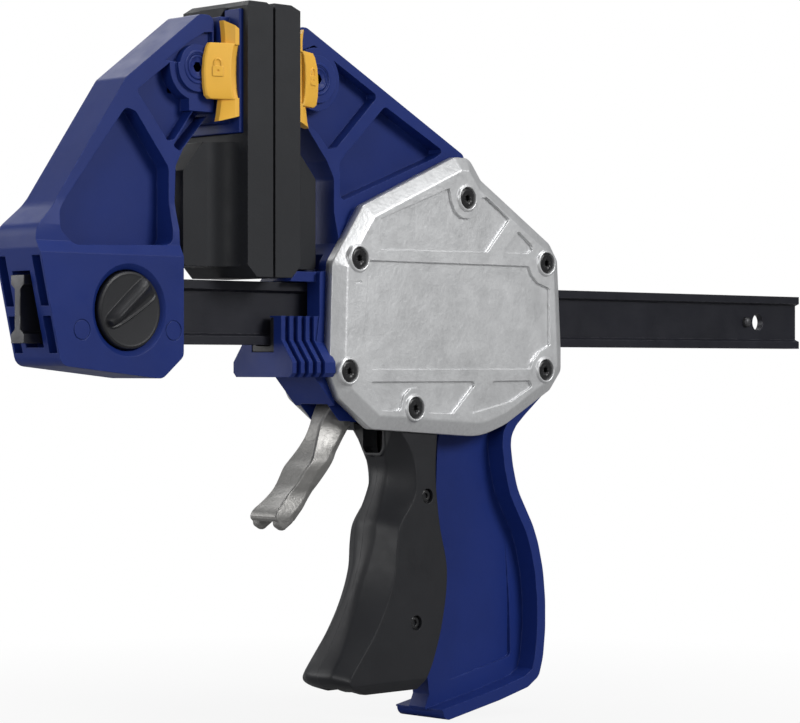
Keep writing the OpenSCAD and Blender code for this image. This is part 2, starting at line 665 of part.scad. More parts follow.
// ---- covers ----
// A cover plate on the +Y side
module cover(hole_r) {
    difference() {
        union() {
            hull() {
                across(core_y, cover_y - bevel_d) polygon(rounded(cover_outline, cover_rounding));
                across(cover_y - bevel_d, cover_y) polygon(rounded(inset(cover_outline, bevel_w),
                    [for (r = cover_rounding) max(r - 2.5, 0.5)]));
            }
            for (s = screws) round_y(s, screw_ring_r, core_y, cover_y + 0.8);
        }
        // pocket over the works, open at the bottom where the trigger swings
        difference() {
            across(core_y - cut, pocket_y)
                polygon([[44, 20], [92, 33], [cavity_rear, 20], [cavity_rear, -30], [113, -50],
                    [50, -50], [50, -30], [44, -24]]);
            round_y(screws[5], screw_ring_r - 0.6, core_y - 2 * cut, pocket_y + eps);
            round_y(trigger_axis, trigger_pin_r + 3, core_y, pocket_y + eps);
            round_y(lever_axis, lever_pin_r + 2.5, core_y, pocket_y + eps);
        }
        round_y(trigger_axis, trigger_pin_r + fit, core_y - 2 * cut, pocket_y + eps);
        round_y(lever_axis, lever_pin_r + fit, core_y - 2 * cut, pocket_y + eps);
        for (s = screws) round_y(s, hole_r, core_y - 2 * cut, cover_y + 2 * cut);
    }
    // spacer that meets the other cover's between the plates
    difference() {
        round_y(screws[5], screw_ring_r - 0.6, 0.1, core_y + eps);
        round_y(screws[5], hole_r, 0, core_y + cut);
    }
}
module cover_plate_near() {
    panels = [[[49.5, 33.4], [86, 46.9], [86.4, 40.8], [89.9, 36.4], [97.1, 35.2],
            [102.9, 38.4], [104.4, 44.4], [117.7, 35.9], [105.1, 22.8], [49.5, 22.4]],
        [[111.7, 23], [121.4, 32.3], [130, 26.4], [129.7, 24.5], [126.7, 23.2]],
        [[50.1, 19.2], [127.4, 19.4], [129.7, 14.4], [138.6, 11.3], [139.2, -10.6],
            [132.7, -13.6], [128.4, -19.6], [46.4, -19.6], [43.6, -15.4], [43.6, -11],
            [50.1, -9]],
        [[44.6, -23.4], [98, -23.4], [99, -25], [87, -36.8], [75.7, -36], [74.2, -28.4],
            [68, -25.9], [61.7, -28.2], [59.7, -34.6], [50, -34.6]],
        [[108, -23.4], [128, -23.3], [130, -26], [117.7, -31.8], [93.4, -36.6]]];
    color(silver) difference() {
        mirror([0, 1, 0]) cover(screw_r + 0.1);
        for (p = panels) across(-cover_y - cut, -cover_y + panel_d) polygon(rounded(p, 1.2, 3));
        for (s = screws) round_y(s, screw_head_r + 0.1, -cover_y - 2 * cut, -cover_y + 1.2);
    }
}
module cover_plate_far() {
    color(silver) cover(screw_r + fit);
}
module cover_screws() {
    color(charcoal) for (s = screws) difference() {
        union() {
            round_y(s, screw_r, -cover_y + 1, cover_y - 0.5);
            round_y(s, screw_head_r, -cover_y - 0.4, -cover_y + 1.2);
        }
        translate([s.x, -cover_y + 0.6, s.y]) rotate([90, 0, 0]) cylinder(r = 1.6, h = 3, $fn = 6);
    }
}

// ---- trigger ----
module trigger_pivot_pin() {
    color(steel) round_y(trigger_axis, trigger_pin_r, -pocket_y + 0.1, pocket_y - 0.1);
}
module trigger_yoke() {
    front = trigger_axis.x - 3.2;
    rear = drive_x - 0.4;
    arm = [[front, trigger_axis.y], [front, -38], [71, -57], [68, -72], [65, -98], [64, -115],
        [75, -115], [79, -98], [79, -57], [79.6, -38], [80, -24], [rear, drive_spring_z],
        [rear, trigger_axis.y]];
    color(steel) difference() {
        union() {
            both_sides() {
                across(arm_y - arm_t, arm_y) polygon(arm);
                round_y(trigger_axis, trigger_pin_r + 3.5, arm_y - arm_t, arm_y);
            }
            // bridge between the arms
            box([front, -arm_y, bridge_z], [front + 3.6, arm_y, bridge_z + 5]);
        }
        round_y(trigger_axis, trigger_pin_r + fit, -arm_y - cut, arm_y + cut);
        for (s = trigger_screw_at) round_y(s, shell_screw_r - 0.8 + fit, -arm_y - cut, arm_y + cut);
    }
}
// Section of the near half of the trigger at one station
function trigger_slice(s) = let (z = s[0], front = s[1], rear = s[2])
    [[front, 0, z], [front, -5, z], [front + 3, -9.8, z], [front + 7.5, -shell_y, z],
        [rear - 2, -shell_y, z], [rear, -shell_y + 2, z], [rear, 0, z]];
module trigger_half() {
    slices = [for (s = trigger_stations) trigger_slice(s)];
    sides = len(slices[0]);
    last = (len(slices) - 1) * sides;
    // outline of a slot that starts a given depth behind the front and is open at the bottom
    slotted = [for (i = [0:len(trigger_stations) - 2]) trigger_stations[i]];
    function slot(depth) = concat([[120, -30], [slotted[0][1] + depth, -30]],
        [for (s = slotted) [s[1] + depth, s[0]]],
        [[slotted[len(slotted) - 1][1] + depth, -140], [120, -140]]);
    difference() {
        polyhedron([for (s = slices) each s],
            concat([for (i = [0:len(slices) - 2], k = [0:sides - 1], half = [0, 1])
                let (a = i * sides + k, b = i * sides + (k + 1) % sides)
                half == 0 ? [a, b, b + sides] : [a, b + sides, a + sides]],
                [[for (k = [sides - 1:-1:0]) k], [for (k = [0:sides - 1]) last + k]]));
        // slot for the handle's web and the yoke
        across(-slot_y, slot_y) polygon(slot(wide_slot));
        across(-grip_web / 2 - 0.6, grip_web / 2 + 0.6) polygon(slot(web_slot));
        // window in the neck
        box([50, -4.6, -49.6], [76, 4.6, -40.2]);
        for (s = trigger_screw_at) {
            round_y(s, shell_screw_r + 0.3, -shell_y - cut, -shell_y + 2);
            round_y(s, shell_screw_r - 0.8 + fit, -shell_y, -slot_y + cut);
        }
    }
}
module trigger_shell_near() {
    color(charcoal) trigger_half();
}
module trigger_shell_far() {
    color(charcoal) mirror([0, 1, 0]) trigger_half();
}
module trigger_screws() {
    color(charcoal) both_sides() for (s = trigger_screw_at) {
        round_y(s, shell_screw_r, -shell_y + 0.6, -shell_y + 2);
        round_y(s, shell_screw_r - 0.8, -shell_y + 1, -arm_y + arm_t);
    }
}

// ---- drive and brake ----
module bar_window(x0, x1) {
    box([x0, -half_w - 0.4, -half_h - 0.4], [x1, half_w + 0.4, half_h + 0.4]);
}
module drive_plates() {
    low = drive_spring_z - drive_spring_r - 1;
    color(steel) for (i = [0, 1]) let (x = drive_x + i * (drive_t + 0.2)) difference() {
        box([x, -plate_w / 2, low], [x + drive_t, plate_w / 2, half_h + 5]);
        bar_window(x - cut, x + drive_t + cut);
    }
}
module drive_spring() {
    start = drive_x + 2 * drive_t + 0.4;
    color(silver) translate([start, 0, drive_spring_z])
        coil(cavity_rear + 1.3 - start, drive_spring_r, 8);
}
// The brake plate leans forward about its upper edge
module lean() {
    translate([brake_axis.x, 0, brake_axis.y]) rotate([0, brake_lean, 0])
        translate([-brake_axis.x, 0, -brake_axis.y]) children();
}
module brake_plate() {
    x = brake_axis.x - brake_t / 2;
    tail_y = lever_y - lever_t - gap;
    color(steel) lean() difference() {
        union() {
            box([x, -plate_w / 2, brake_foot], [x + brake_t, plate_w / 2, brake_axis.y]);
            box([x, -tail_y, brake_bottom], [x + brake_t, tail_y, brake_foot + 0.6]);
        }
        bar_window(x - cut, x + brake_t + cut);
    }
}
module brake_spring() {
    drop = brake_axis.y - brake_spring_z;
    start = brake_axis.x + brake_t / 2 - drop * tan(brake_lean) + 0.35;
    color(silver) translate([start, 0, brake_spring_z]) coil(post_x - 0.2 - start, brake_spring_r, 5);
}

// ---- release lever ----
module lever_pivot_pin() {
    color(steel) round_y(lever_axis, lever_pin_r, -pocket_y + 0.1, pocket_y - 0.1);
}
module release_lever() {
    eye_r = lever_pin_r + 2.4;
    eye_front = lever_axis + [-2.5, eye_r - 0.6];
    eye_rear = lever_axis + [1.5, -eye_r + 0.2];
    side = concat([eye_front], lever_front, lever_lip, lever_rear, [eye_rear]);
    front_line = concat(lever_front, lever_lip);
    web_back = concat([[contact_x, -29.4], [contact_x, -31.6], [contact_x - 0.6, -34.6]],
        [for (i = [2:len(lever_front) - 1]) lever_front[i] + [2.6, -0.4]], [[14, -70.6]]);
    color(silver) difference() {
        union() {
            both_sides() {
                across(lever_y - lever_t, lever_y) polygon(side);
                round_y(lever_axis, eye_r, lever_y - lever_t, lever_y);
                // flare beside the lip
                hull() {
                    across(lever_y - eps, lever_y) polygon([[21, -58.4], [14.6, -64.6], [10.2, -68.4],
                        [9.9, -70.6], [13, -74.4], [16.2, -74.2], [26, -64]]);
                    across(lip_w / 2 - eps, lip_w / 2) polygon([[14, -65.8], [10.6, -68.8],
                        [10.3, -70.6], [13, -73.8], [15.6, -73.6], [18, -70]]);
                }
            }
            across(-lever_y + eps, lever_y - eps) polygon(concat(front_line, reversed(web_back)));
        }
        round_y(lever_axis, lever_pin_r + fit, -lever_y - cut, lever_y + cut);
    }
}

bar();
bar_stop_pin();
fixed_jaw();
fixed_pivot_pin();
lock_knob();
lock_pin();
fixed_swivel_jaw();
fixed_pad();
fixed_latch();
moving_jaw_body();
bar_guide();
moving_pivot_pin();
moving_swivel_jaw();
moving_pad();
moving_latch();
cover_plate_near();
cover_plate_far();
cover_screws();
trigger_pivot_pin();
trigger_yoke();
trigger_shell_near();
trigger_shell_far();
trigger_screws();
drive_plates();
drive_spring();
lever_pivot_pin();
release_lever();
brake_plate();
brake_spring();
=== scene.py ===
import json
import math

import bmesh
import bpy
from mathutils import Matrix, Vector
from mathutils.geometry import delaunay_2d_cdt


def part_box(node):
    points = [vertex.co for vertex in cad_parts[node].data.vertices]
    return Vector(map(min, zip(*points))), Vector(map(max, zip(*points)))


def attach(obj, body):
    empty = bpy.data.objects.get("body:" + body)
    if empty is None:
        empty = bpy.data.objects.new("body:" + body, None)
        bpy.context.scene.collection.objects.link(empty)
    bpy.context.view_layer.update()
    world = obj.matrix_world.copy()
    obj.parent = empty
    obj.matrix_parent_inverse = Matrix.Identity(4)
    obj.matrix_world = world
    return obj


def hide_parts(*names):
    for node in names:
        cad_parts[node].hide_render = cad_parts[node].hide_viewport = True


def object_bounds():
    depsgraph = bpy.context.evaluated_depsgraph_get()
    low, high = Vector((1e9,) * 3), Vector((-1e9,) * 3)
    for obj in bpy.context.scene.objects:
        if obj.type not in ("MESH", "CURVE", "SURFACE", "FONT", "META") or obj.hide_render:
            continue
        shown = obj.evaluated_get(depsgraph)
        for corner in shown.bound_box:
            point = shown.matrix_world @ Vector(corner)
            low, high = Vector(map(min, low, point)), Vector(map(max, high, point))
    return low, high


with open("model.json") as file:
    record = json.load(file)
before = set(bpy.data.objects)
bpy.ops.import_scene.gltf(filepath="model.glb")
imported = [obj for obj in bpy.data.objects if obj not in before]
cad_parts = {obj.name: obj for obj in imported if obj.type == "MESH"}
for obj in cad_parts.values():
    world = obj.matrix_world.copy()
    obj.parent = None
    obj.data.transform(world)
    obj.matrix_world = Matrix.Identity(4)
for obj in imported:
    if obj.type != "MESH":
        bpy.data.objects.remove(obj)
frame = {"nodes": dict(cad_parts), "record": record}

MM = 0.001
nodes = frame["nodes"]
cad_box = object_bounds()
scene = bpy.context.scene
record = frame["record"]
BODY = {n: b for b, ns in record["behaviour"]["bodies"].items() for n in ns}
HINGE = {j["name"]: [c / MM for c in j["pos_m"]] for j in record["behaviour"]["joints"] if "pos_m" in j}
LOW, HIGH = 0, 1        # corners of a box
X, Y, Z = 0, 1, 2


def bound(node, corner, axis):
    """A side of a CAD node's box, in millimetres."""
    return round(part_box(node)[corner][axis] / MM, 3)


# Sizes and places that the pieces share, in millimetres
RING_RISE = 0.8                                                     # screw rings above the cover
COVER_Y = bound("cover_plate_far", HIGH, Y) - RING_RISE             # face of a cover plate
CORE_Y = 10.2                                                       # back of a cover plate
BLOCK_Y = bound("fixed_jaw", HIGH, Y)                               # side of the fixed jaw's block
WEB_Y = 4.2                                                         # side of the handle's web
SHELL_Y = bound("trigger_shell_far", HIGH, Y)                       # side of the trigger
PIVOT = (-HINGE["fixed_pad_swivel"][X], HINGE["fixed_pad_swivel"][Z])   # a swivel pin, of either jaw
KNOB_X = HINGE["knob_turn"][X]
SCREWS = [(94.1, 42.8), (40.1, 19.5), (136.4, 20.3), (35.3, -19.9), (135.8, -19.6), (67.6, -33.1)]
SCREW_HEAD = 3.85                                                   # radius of a cover screw's head
HEAD_BORE = SCREW_HEAD + 0.1


# ---- camera: the photograph's own view ----
CAMERA_AT = (-0.6104, -0.7031, -0.0182)
CAMERA_WAY = (0.6985, 0.7156, 0)
FOCAL_LENGTH = 121.97
CAMERA_RISE = 0.00587       # vertical shift of the picture


def make_camera():
    data = bpy.data.cameras.new("camera")
    data.sensor_width = 36
    data.lens = FOCAL_LENGTH
    data.shift_y = CAMERA_RISE
    data.clip_start = 0.01
    data.clip_end = 50
    cam = bpy.data.objects.new("camera", data)
    scene.collection.objects.link(cam)
    cam.location = CAMERA_AT
    cam.rotation_euler = Vector(CAMERA_WAY).to_track_quat("-Z", "Y").to_euler()
    scene.camera = cam


# ---- materials ----
SOFT_EDGE = 0.35 * MM       # radius that the shading gives to every edge
WORN_LIT_REACH = 0.5 * MM       # how far rubbing and painted edge highlights reach in from an edge


def noise(nt, coord, scale, detail=4.0, rough=0.55, stretch=None):
    """Noise in object space, with scale in waves per metre."""
    n = nt.nodes.new("ShaderNodeTexNoise")
    n.inputs["Scale"].default_value = scale
    n.inputs["Detail"].default_value = detail
    n.inputs["Roughness"].default_value = rough
    if stretch:
        m = nt.nodes.new("ShaderNodeMapping")
        m.inputs["Scale"].default_value = stretch
        nt.links.new(coord, m.inputs["Vector"])
        coord = m.outputs["Vector"]
    nt.links.new(coord, n.inputs["Vector"])
    return n.outputs["Fac"]


def ramp(nt, value, low, high, a=0.0, b=1.0):
    """a up to the value low, b from the value high on."""
    n = nt.nodes.new("ShaderNodeMapRange")
    n.inputs["From Min"].default_value = low
    n.inputs["From Max"].default_value = high
    n.inputs["To Min"].default_value = a
    n.inputs["To Max"].default_value = b
    nt.links.new(value, n.inputs["Value"])
    return n.outputs["Result"]


def mix(nt, fac, a, b):
    """Colour between a and b, each a socket or a tuple."""
    n = nt.nodes.new("ShaderNodeMix")
    n.data_type = "RGBA"
    for i, v in ((6, a), (7, b)):
        if isinstance(v, tuple):
            n.inputs[i].default_value = (*v, 1.0)
        else:
            nt.links.new(v, n.inputs[i])
    nt.links.new(fac, n.inputs[0])
    return n.outputs[2]


def times(nt, a, b):
    n = nt.nodes.new("ShaderNodeMath")
    n.operation = "MULTIPLY"
    nt.links.new(a, n.inputs[0])
    if isinstance(b, float):
        n.inputs[1].default_value = b
    else:
        nt.links.new(b, n.inputs[1])
    return n.outputs[0]


def rounding(nt, radius):
    n = nt.nodes.new("ShaderNodeBevel")
    n.samples = 4
    n.inputs["Radius"].default_value = radius
    return n.outputs["Normal"]


def edges(nt, radius):
    """1 within the radius of an edge, 0 on the flats."""
    geo = nt.nodes.new("ShaderNodeNewGeometry")
    dot = nt.nodes.new("ShaderNodeVectorMath")
    dot.operation = "DOT_PRODUCT"
    nt.links.new(rounding(nt, radius), dot.inputs[0])
    nt.links.new(geo.outputs["Normal"], dot.inputs[1])
    return ramp(nt, dot.outputs["Value"], 0.99, 0.86)


def surface(name, tone, spread=0.12, rough=0.5, rough_var=0.06, grain=1800.0, depth=0.03,
            metal=0.0, worn_lit_colour=None, worn_lit_amount=0.3, stretch=None, mottle=28.0, specular=0.5, speck=0.35):
    """A mottled, grained material.

    spread is how far the mottling departs from the tone, grain the waves per metre of the fine
    grain, depth its bump in millimetres, speck how much it lightens the colour, worn the colour
    laid along the edges and wear its strength; that edge colour is partly rubbing and partly a painted
    edge highlight."""
    mat = bpy.data.materials.new(name)
    mat.use_nodes = True
    nt = mat.node_tree
    bsdf = nt.nodes["Principled BSDF"]
    coord = nt.nodes.new("ShaderNodeTexCoord").outputs["Object"]
    dark = tuple(c * (1 - spread) for c in tone)
    light = tuple(min(c * (1 + spread), 1.0) for c in tone)
    colour = mix(nt, ramp(nt, noise(nt, coord, mottle, 6.0), 0.3, 0.7), dark, light)
    fine = noise(nt, coord, grain, 3.0, 0.6, stretch)
    colour = mix(nt, ramp(nt, fine, 0.35, 0.75, 0.0, speck), colour, light)
    # edge colour: partly rubbed edges, partly a painted highlight along every edge
    if worn_lit_colour:
        edge_patches = ramp(nt, noise(nt, coord, 260.0, 5.0), 0.42, 0.62)
        rub_and_highlight = times(nt, times(nt, edges(nt, WORN_LIT_REACH), edge_patches), worn_lit_amount)
        colour = mix(nt, rub_and_highlight, colour, worn_lit_colour)
    nt.links.new(colour, bsdf.inputs["Base Color"])
    patches = noise(nt, coord, mottle * 5, 5.0)
    nt.links.new(ramp(nt, patches, 0.25, 0.75, rough - rough_var, rough + rough_var),
                 bsdf.inputs["Roughness"])
    bump = nt.nodes.new("ShaderNodeBump")
    bump.inputs["Strength"].default_value = 0.6
    bump.inputs["Distance"].default_value = depth * MM
    nt.links.new(fine, bump.inputs["Height"])
    nt.links.new(rounding(nt, SOFT_EDGE), bump.inputs["Normal"])
    nt.links.new(bump.outputs["Normal"], bsdf.inputs["Normal"])
    bsdf.inputs["Metallic"].default_value = metal
    bsdf.inputs["Specular IOR Level"].default_value = specular
    return mat


# The edge colours below lighten every edge: partly rubbing, partly painted edge highlights.
NAVY = surface("navy_polymer", (0.0085, 0.024, 0.155), 0.12, 0.44, grain=1500, depth=0.03,
               worn_lit_colour=(0.05, 0.085, 0.33), worn_lit_amount=0.6, specular=0.24)
PAD = surface("pad_rubber", (0.017, 0.018, 0.021), 0.15, 0.55, grain=1300, depth=0.05,
              worn_lit_colour=(0.05, 0.05, 0.058), worn_lit_amount=0.5, specular=0.3)
GRIP = surface("black_polymer", (0.009, 0.0095, 0.012), 0.16, 0.45, grain=1500, depth=0.04,
               worn_lit_colour=(0.035, 0.035, 0.04), worn_lit_amount=0.5, specular=0.45)
BAR = surface("black_bar", (0.012, 0.0125, 0.019), 0.25, 0.42, 0.08, grain=900, depth=0.03,
              metal=0.3, worn_lit_colour=(0.12, 0.12, 0.13), worn_lit_amount=0.5, stretch=(0.12, 1, 1), mottle=18)
COVER = surface("cast_cover", (0.665, 0.67, 0.675), 0.1, 0.42, 0.07, grain=700, depth=0.16,
                metal=0.65, worn_lit_colour=(0.8, 0.8, 0.8), worn_lit_amount=0.8, speck=0.8)
LEVER = surface("cast_lever", (0.28, 0.275, 0.265), 0.16, 0.44, 0.08, grain=600, depth=0.24,
                metal=0.8, worn_lit_colour=(0.75, 0.75, 0.74), worn_lit_amount=0.6, speck=0.8)
END = surface("worn_bar_end", (0.06, 0.06, 0.064), 0.4, 0.45, 0.1, grain=700, depth=0.06,
              metal=0.5, worn_lit_colour=(0.5, 0.5, 0.5), worn_lit_amount=0.8, speck=0.9)
AMBER = surface("amber_polymer", (0.9, 0.49, 0.055), 0.07, 0.48, grain=1500, depth=0.02,
                worn_lit_colour=(0.85, 0.52, 0.14), worn_lit_amount=0.3, specular=0.4)
BLACK = surface("black_screw", (0.016, 0.016, 0.017), 0.2, 0.3, grain=1500, depth=0.02,
                worn_lit_colour=(0.08, 0.08, 0.08), worn_lit_amount=0.2, specular=0.4)
STEEL = surface("bright_steel", (0.5, 0.5, 0.51), 0.1, 0.32, grain=900, depth=0.02, metal=1.0,
                stretch=(0.1, 1, 1))

LOOK = {
    "bar": BAR, "bar_stop_pin": STEEL, "fixed_jaw": NAVY, "fixed_pivot_pin": NAVY,
    "lock_knob": GRIP, "lock_pin": STEEL, "fixed_swivel_jaw": NAVY, "fixed_pad": PAD,
    "fixed_latch": AMBER, "moving_jaw_body": NAVY, "bar_guide": GRIP, "moving_pivot_pin": NAVY,
    "moving_swivel_jaw": NAVY, "moving_pad": PAD, "moving_latch": AMBER,
    "cover_plate_near": COVER, "cover_plate_far": COVER, "cover_screws": BLACK,
    "trigger_pivot_pin": STEEL, "trigger_yoke": STEEL, "trigger_shell_near": GRIP,
    "trigger_shell_far": GRIP, "trigger_screws": BLACK, "drive_plates": STEEL,
    "drive_spring": STEEL, "lever_pivot_pin": STEEL, "release_lever": LEVER,
    "brake_plate": STEEL, "brake_spring": STEEL,
}


# ---- outlines: lists of 2D points ----
def rounded(points, radius, steps=4):
    """The closed outline with each corner rounded, by one radius or by a list of them."""
    out = []
    for i, point in enumerate(points):
        r = radius[i] if isinstance(radius, list) else radius
        b = Vector(point)
        u = Vector(points[i - 1]) - b
        v = Vector(points[(i + 1) % len(points)]) - b
        half = u.angle(v) / 2
        if r <= 0 or half > 1.5:
            out.append(b)
            continue
        back = min(r / math.tan(half), 0.45 * u.length, 0.45 * v.length)
        r = back * math.tan(half)
        u.normalize()
        v.normalize()
        centre = b + (u + v).normalized() * r / math.sin(half)
        p = b + u * back - centre
        q = b + v * back - centre
        start = math.atan2(p.y, p.x)
        sweep = (math.atan2(q.y, q.x) - start + math.pi) % (2 * math.pi) - math.pi
        for k in range(steps + 1):
            a = start + sweep * k / steps
            out.append(centre + r * Vector((math.cos(a), math.sin(a))))
    return out


def inset(points, d):
    """The closed outline moved inward by d, or outward where d is negative."""
    pts = [Vector(p) for p in points]
    area = sum(a.cross(b) for a, b in zip(pts, pts[1:] + pts[:1]))
    d *= math.copysign(1, area)
    out = []
    for i, p in enumerate(pts):
        a = (p - pts[i - 1]).normalized()
        b = (pts[(i + 1) % len(pts)] - p).normalized()
        out.append(p + Vector((-a.y - b.y, a.x + b.x)) * d / (1 + a.dot(b)))
    return out


def shrunk(points, radius, d):
    """The rounded outline moved inward by d, its corners kept round."""
    if isinstance(radius, list):
        radius = [max(r - d, 0.3) for r in radius]
    elif radius:
        radius = max(radius - d, 0.2)
    return rounded(inset(points, d), radius)


def circle(at, r, n=40):
    return [(at[0] + r * math.cos(2 * math.pi * k / n), at[1] + r * math.sin(2 * math.pi * k / n))
            for k in range(n)]


# ---- meshes: (vertices in millimetres, faces) ----
def join(*parts):
    verts, faces = [], []
    for v, f in parts:
        faces += [tuple(i + len(verts) for i in face) for face in f]
        verts += v
    return verts, faces


def moved(part, to):
    return [Vector(to(*v)) for v in part[0]], part[1]


def facing(part, at=(0, 0), base=0, side=-1):
    """A shape of (u, v, height), laid at (X, Z) so that it rises from base on one side in Y."""
    return moved(part, lambda u, v, h: (at[0] + u, side * (base + h), at[1] + v))


def upright(part):
    """A shape of (X, Z, Y) in the frame's own order."""
    return moved(part, lambda x, z, y: (x, y, z))


def relief(points, radius, border, floor, features=()):
    """A plate over a rounded outline, with coordinates (u, v, height).

    border lists (how far in from the outline, height) from the side wall to the top, and floor
    is the height of the back. A feature is (outline, radius, outer height, inner height, width
    of the step)."""
    flat, heights, lines = [], [], []

    def ring(outline, height):
        first = len(flat)
        flat.extend(Vector(p) for p in outline)
        heights.extend([height] * len(outline))
        n = len(outline)
        lines.extend((first + i, first + (i + 1) % n) for i in range(n))
        return range(first, first + n)

    rim = ring(shrunk(points, radius, border[0][0]), border[0][1])
    for d, h in border[1:]:
        ring(shrunk(points, radius, d), h)
    for outline, r, low, high, width in features:
        for t in (0, 0.3, 0.7, 1):
            ring(shrunk(outline, r, width * t), low + (high - low) * t * t * (3 - 2 * t))
    found, _, tris, source, _, _ = delaunay_2d_cdt(flat, lines, [], 1, 1e-6)
    place = {s: i for i, group in enumerate(source) for s in group}
    verts = [Vector((p.x, p.y, heights[source[i][0]] if source[i] else border[-1][1]))
             for i, p in enumerate(found)]
    faces = [tuple(t) for t in tris]
    base = len(verts)
    verts += [Vector((verts[place[i]].x, verts[place[i]].y, floor)) for i in rim]
    n = len(rim)
    faces += [(place[rim[i]], place[rim[(i + 1) % n]], base + (i + 1) % n, base + i)
              for i in range(n)]
    faces.append(tuple(base + i for i in range(n)))
    return verts, faces


def loft(rings):
    """Closed rings of equally many points joined in order and closed at both ends."""
    n = len(rings[0])
    verts = [Vector(p) for r in rings for p in r]
    faces = [(i * n + k, i * n + (k + 1) % n, (i + 1) * n + (k + 1) % n, (i + 1) * n + k)
             for i in range(len(rings) - 1) for k in range(n)]
    return verts, faces + [tuple(range(n)), tuple(len(verts) - 1 - k for k in range(n))]


AXIS = 0.01             # radius at which a turned shape closes


def lathe(profile, n=48):
    """A profile of (radius, height) turned about the height axis."""
    rings = [[(r * math.cos(2 * math.pi * k / n), r * math.sin(2 * math.pi * k / n), h)
              for k in range(n)] for r, h in profile]
    return loft(rings)


def hoop(outline, section):
    """A closed band along an outline; its section is a closed list of (how far in, height)."""
    rows = [[(p[0], p[1], h) for p in inset(outline, d)] for d, h in section]
    n, m = len(outline), len(section)
    verts = [Vector(p) for row in rows for p in row]
    faces = [(j * n + i, j * n + (i + 1) % n, (j + 1) % m * n + (i + 1) % n, (j + 1) % m * n + i)
             for j in range(m) for i in range(n)]
    return verts, faces


def prism(outline, low, high):
    return loft([[(x, y, low) for x, y in outline], [(x, y, high) for x, y in outline]])


def across(outline, low, high):
    """A prism over an outline of (X, Z), between two distances in Y."""
    return upright(prism(outline, low, high))


def pillow(points, radius, low, high, r):
    """A prism over a rounded outline, whose faces meet the wall in a quarter round of radius r."""
    turns = [math.radians(a) for a in (0, 30, 60, 90)]
    rings = [(r * (1 - math.sin(a)), low + r * (1 - math.cos(a))) for a in turns]
    rings += [(d, low + high - h) for d, h in reversed(rings)]
    return loft([[(p[0], p[1], h) for p in shrunk(points, radius, d)] for d, h in rings])


def mesh_from(name, part):
    mesh = bpy.data.meshes.new(name)
    mesh.from_pydata([v * MM for v in part[0]], [], part[1])
    bm = bmesh.new()
    bm.from_mesh(mesh)
    bmesh.ops.recalc_face_normals(bm, faces=bm.faces)
    bm.to_mesh(mesh)
    bm.free()
    return mesh


# ---- pieces ----
SHARP = math.radians(24)


def mark_edges(mesh, seam):
    """Weights for the bevel: sharp edges, apart from those in the seam Y = 0."""
    bm = bmesh.new()
    bm.from_mesh(mesh)
    layer = bm.edges.layers.float.new("bevel_weight_edge")
    for e in bm.edges:
        sharp = len(e.link_faces) == 2 and e.calc_face_angle(0) > SHARP
        in_seam = seam and all(abs(v.co.y) < 0.01 * MM for v in e.verts)
        e[layer] = 1.0 if sharp and not in_seam else 0.0
        e.smooth = not (sharp and in_seam)
    bm.to_mesh(mesh)
    bm.free()


def put(name, mesh, node, stands=True, bevel=0.0, segments=2, seam=False, look=None):
    """A piece that moves with a CAD node, and stands in its place or lies on it."""
    obj = bpy.data.objects.new(name, mesh)
    scene.collection.objects.link(obj)
    for polygon in mesh.polygons:
        polygon.use_smooth = True
    if bevel:
        mark_edges(mesh, seam)
        mod = obj.modifiers.new("bevel", "BEVEL")
        mod.width = bevel * MM
        mod.segments = segments
        mod.limit_method = "WEIGHT"
    obj.modifiers.new("normals", "WEIGHTED_NORMAL").keep_sharp = True
    mesh.materials.clear()
    mesh.materials.append(look or LOOK[node])
    if stands:
        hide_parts(node)
    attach(obj, BODY[node])


def cleaned(node):
    """A copy of a CAD node's mesh without doubled points or edges inside flat faces."""
    mesh = nodes[node].data.copy()
    tidy(mesh)
    return mesh


def tidy(mesh):
    """Joins doubled points and takes out edges inside flat faces."""
    bm = bmesh.new()
    bm.from_mesh(mesh)
    bmesh.ops.remove_doubles(bm, verts=bm.verts, dist=1e-6)
    bmesh.ops.dissolve_limit(bm, angle_limit=math.radians(0.6), verts=bm.verts, edges=bm.edges)
    bm.to_mesh(mesh)
    bm.free()


def cut_out(mesh, *parts):
    """The mesh with closed shapes cut out of it."""
    return combined(mesh, "DIFFERENCE", parts)


def united(mesh, *parts):
    return combined(mesh, "UNION", parts)


def cut_off(mesh, at, way):
    """Takes off what lies that way beyond a point, and closes the cut."""
    bm = bmesh.new()
    bm.from_mesh(mesh)
    cut = bmesh.ops.bisect_plane(bm, geom=bm.verts[:] + bm.edges[:] + bm.faces[:], dist=1e-7,
                                 plane_co=Vector(at) * MM, plane_no=way, clear_outer=True)
    rim = [e for e in cut["geom_cut"] if isinstance(e, bmesh.types.BMEdge) and e.is_boundary]
    bmesh.ops.triangle_fill(bm, edges=rim, use_beauty=True)
    bm.to_mesh(mesh)
    bm.free()


def combined(mesh, how, parts):
    """The mesh after one exact boolean with each part."""
    bm = bmesh.new()
    bm.from_mesh(mesh)
    bmesh.ops.remove_doubles(bm, verts=bm.verts, dist=1e-6)
    bm.to_mesh(mesh)
    bm.free()
    obj = bpy.data.objects.new("blank", mesh)
    scene.collection.objects.link(obj)
    tools = []
    for part in parts:
        tool = bpy.data.objects.new("tool", mesh_from("tool", part))
        scene.collection.objects.link(tool)
        mod = obj.modifiers.new("cut", "BOOLEAN")
        mod.operation = how
        mod.solver = "EXACT"
        mod.object = tool
        tools.append(tool)
    graph = bpy.context.evaluated_depsgraph_get()
    done = bpy.data.meshes.new_from_object(obj.evaluated_get(graph))
    for o in [obj] + tools:
        bpy.data.objects.remove(o)
    tidy(done)
    return done


def softened(node, width, mesh=None):
    """A copy of a CAD node with its hard edges rounded, standing for the node."""
    put(node + "_part", mesh or cleaned(node), node, bevel=width)


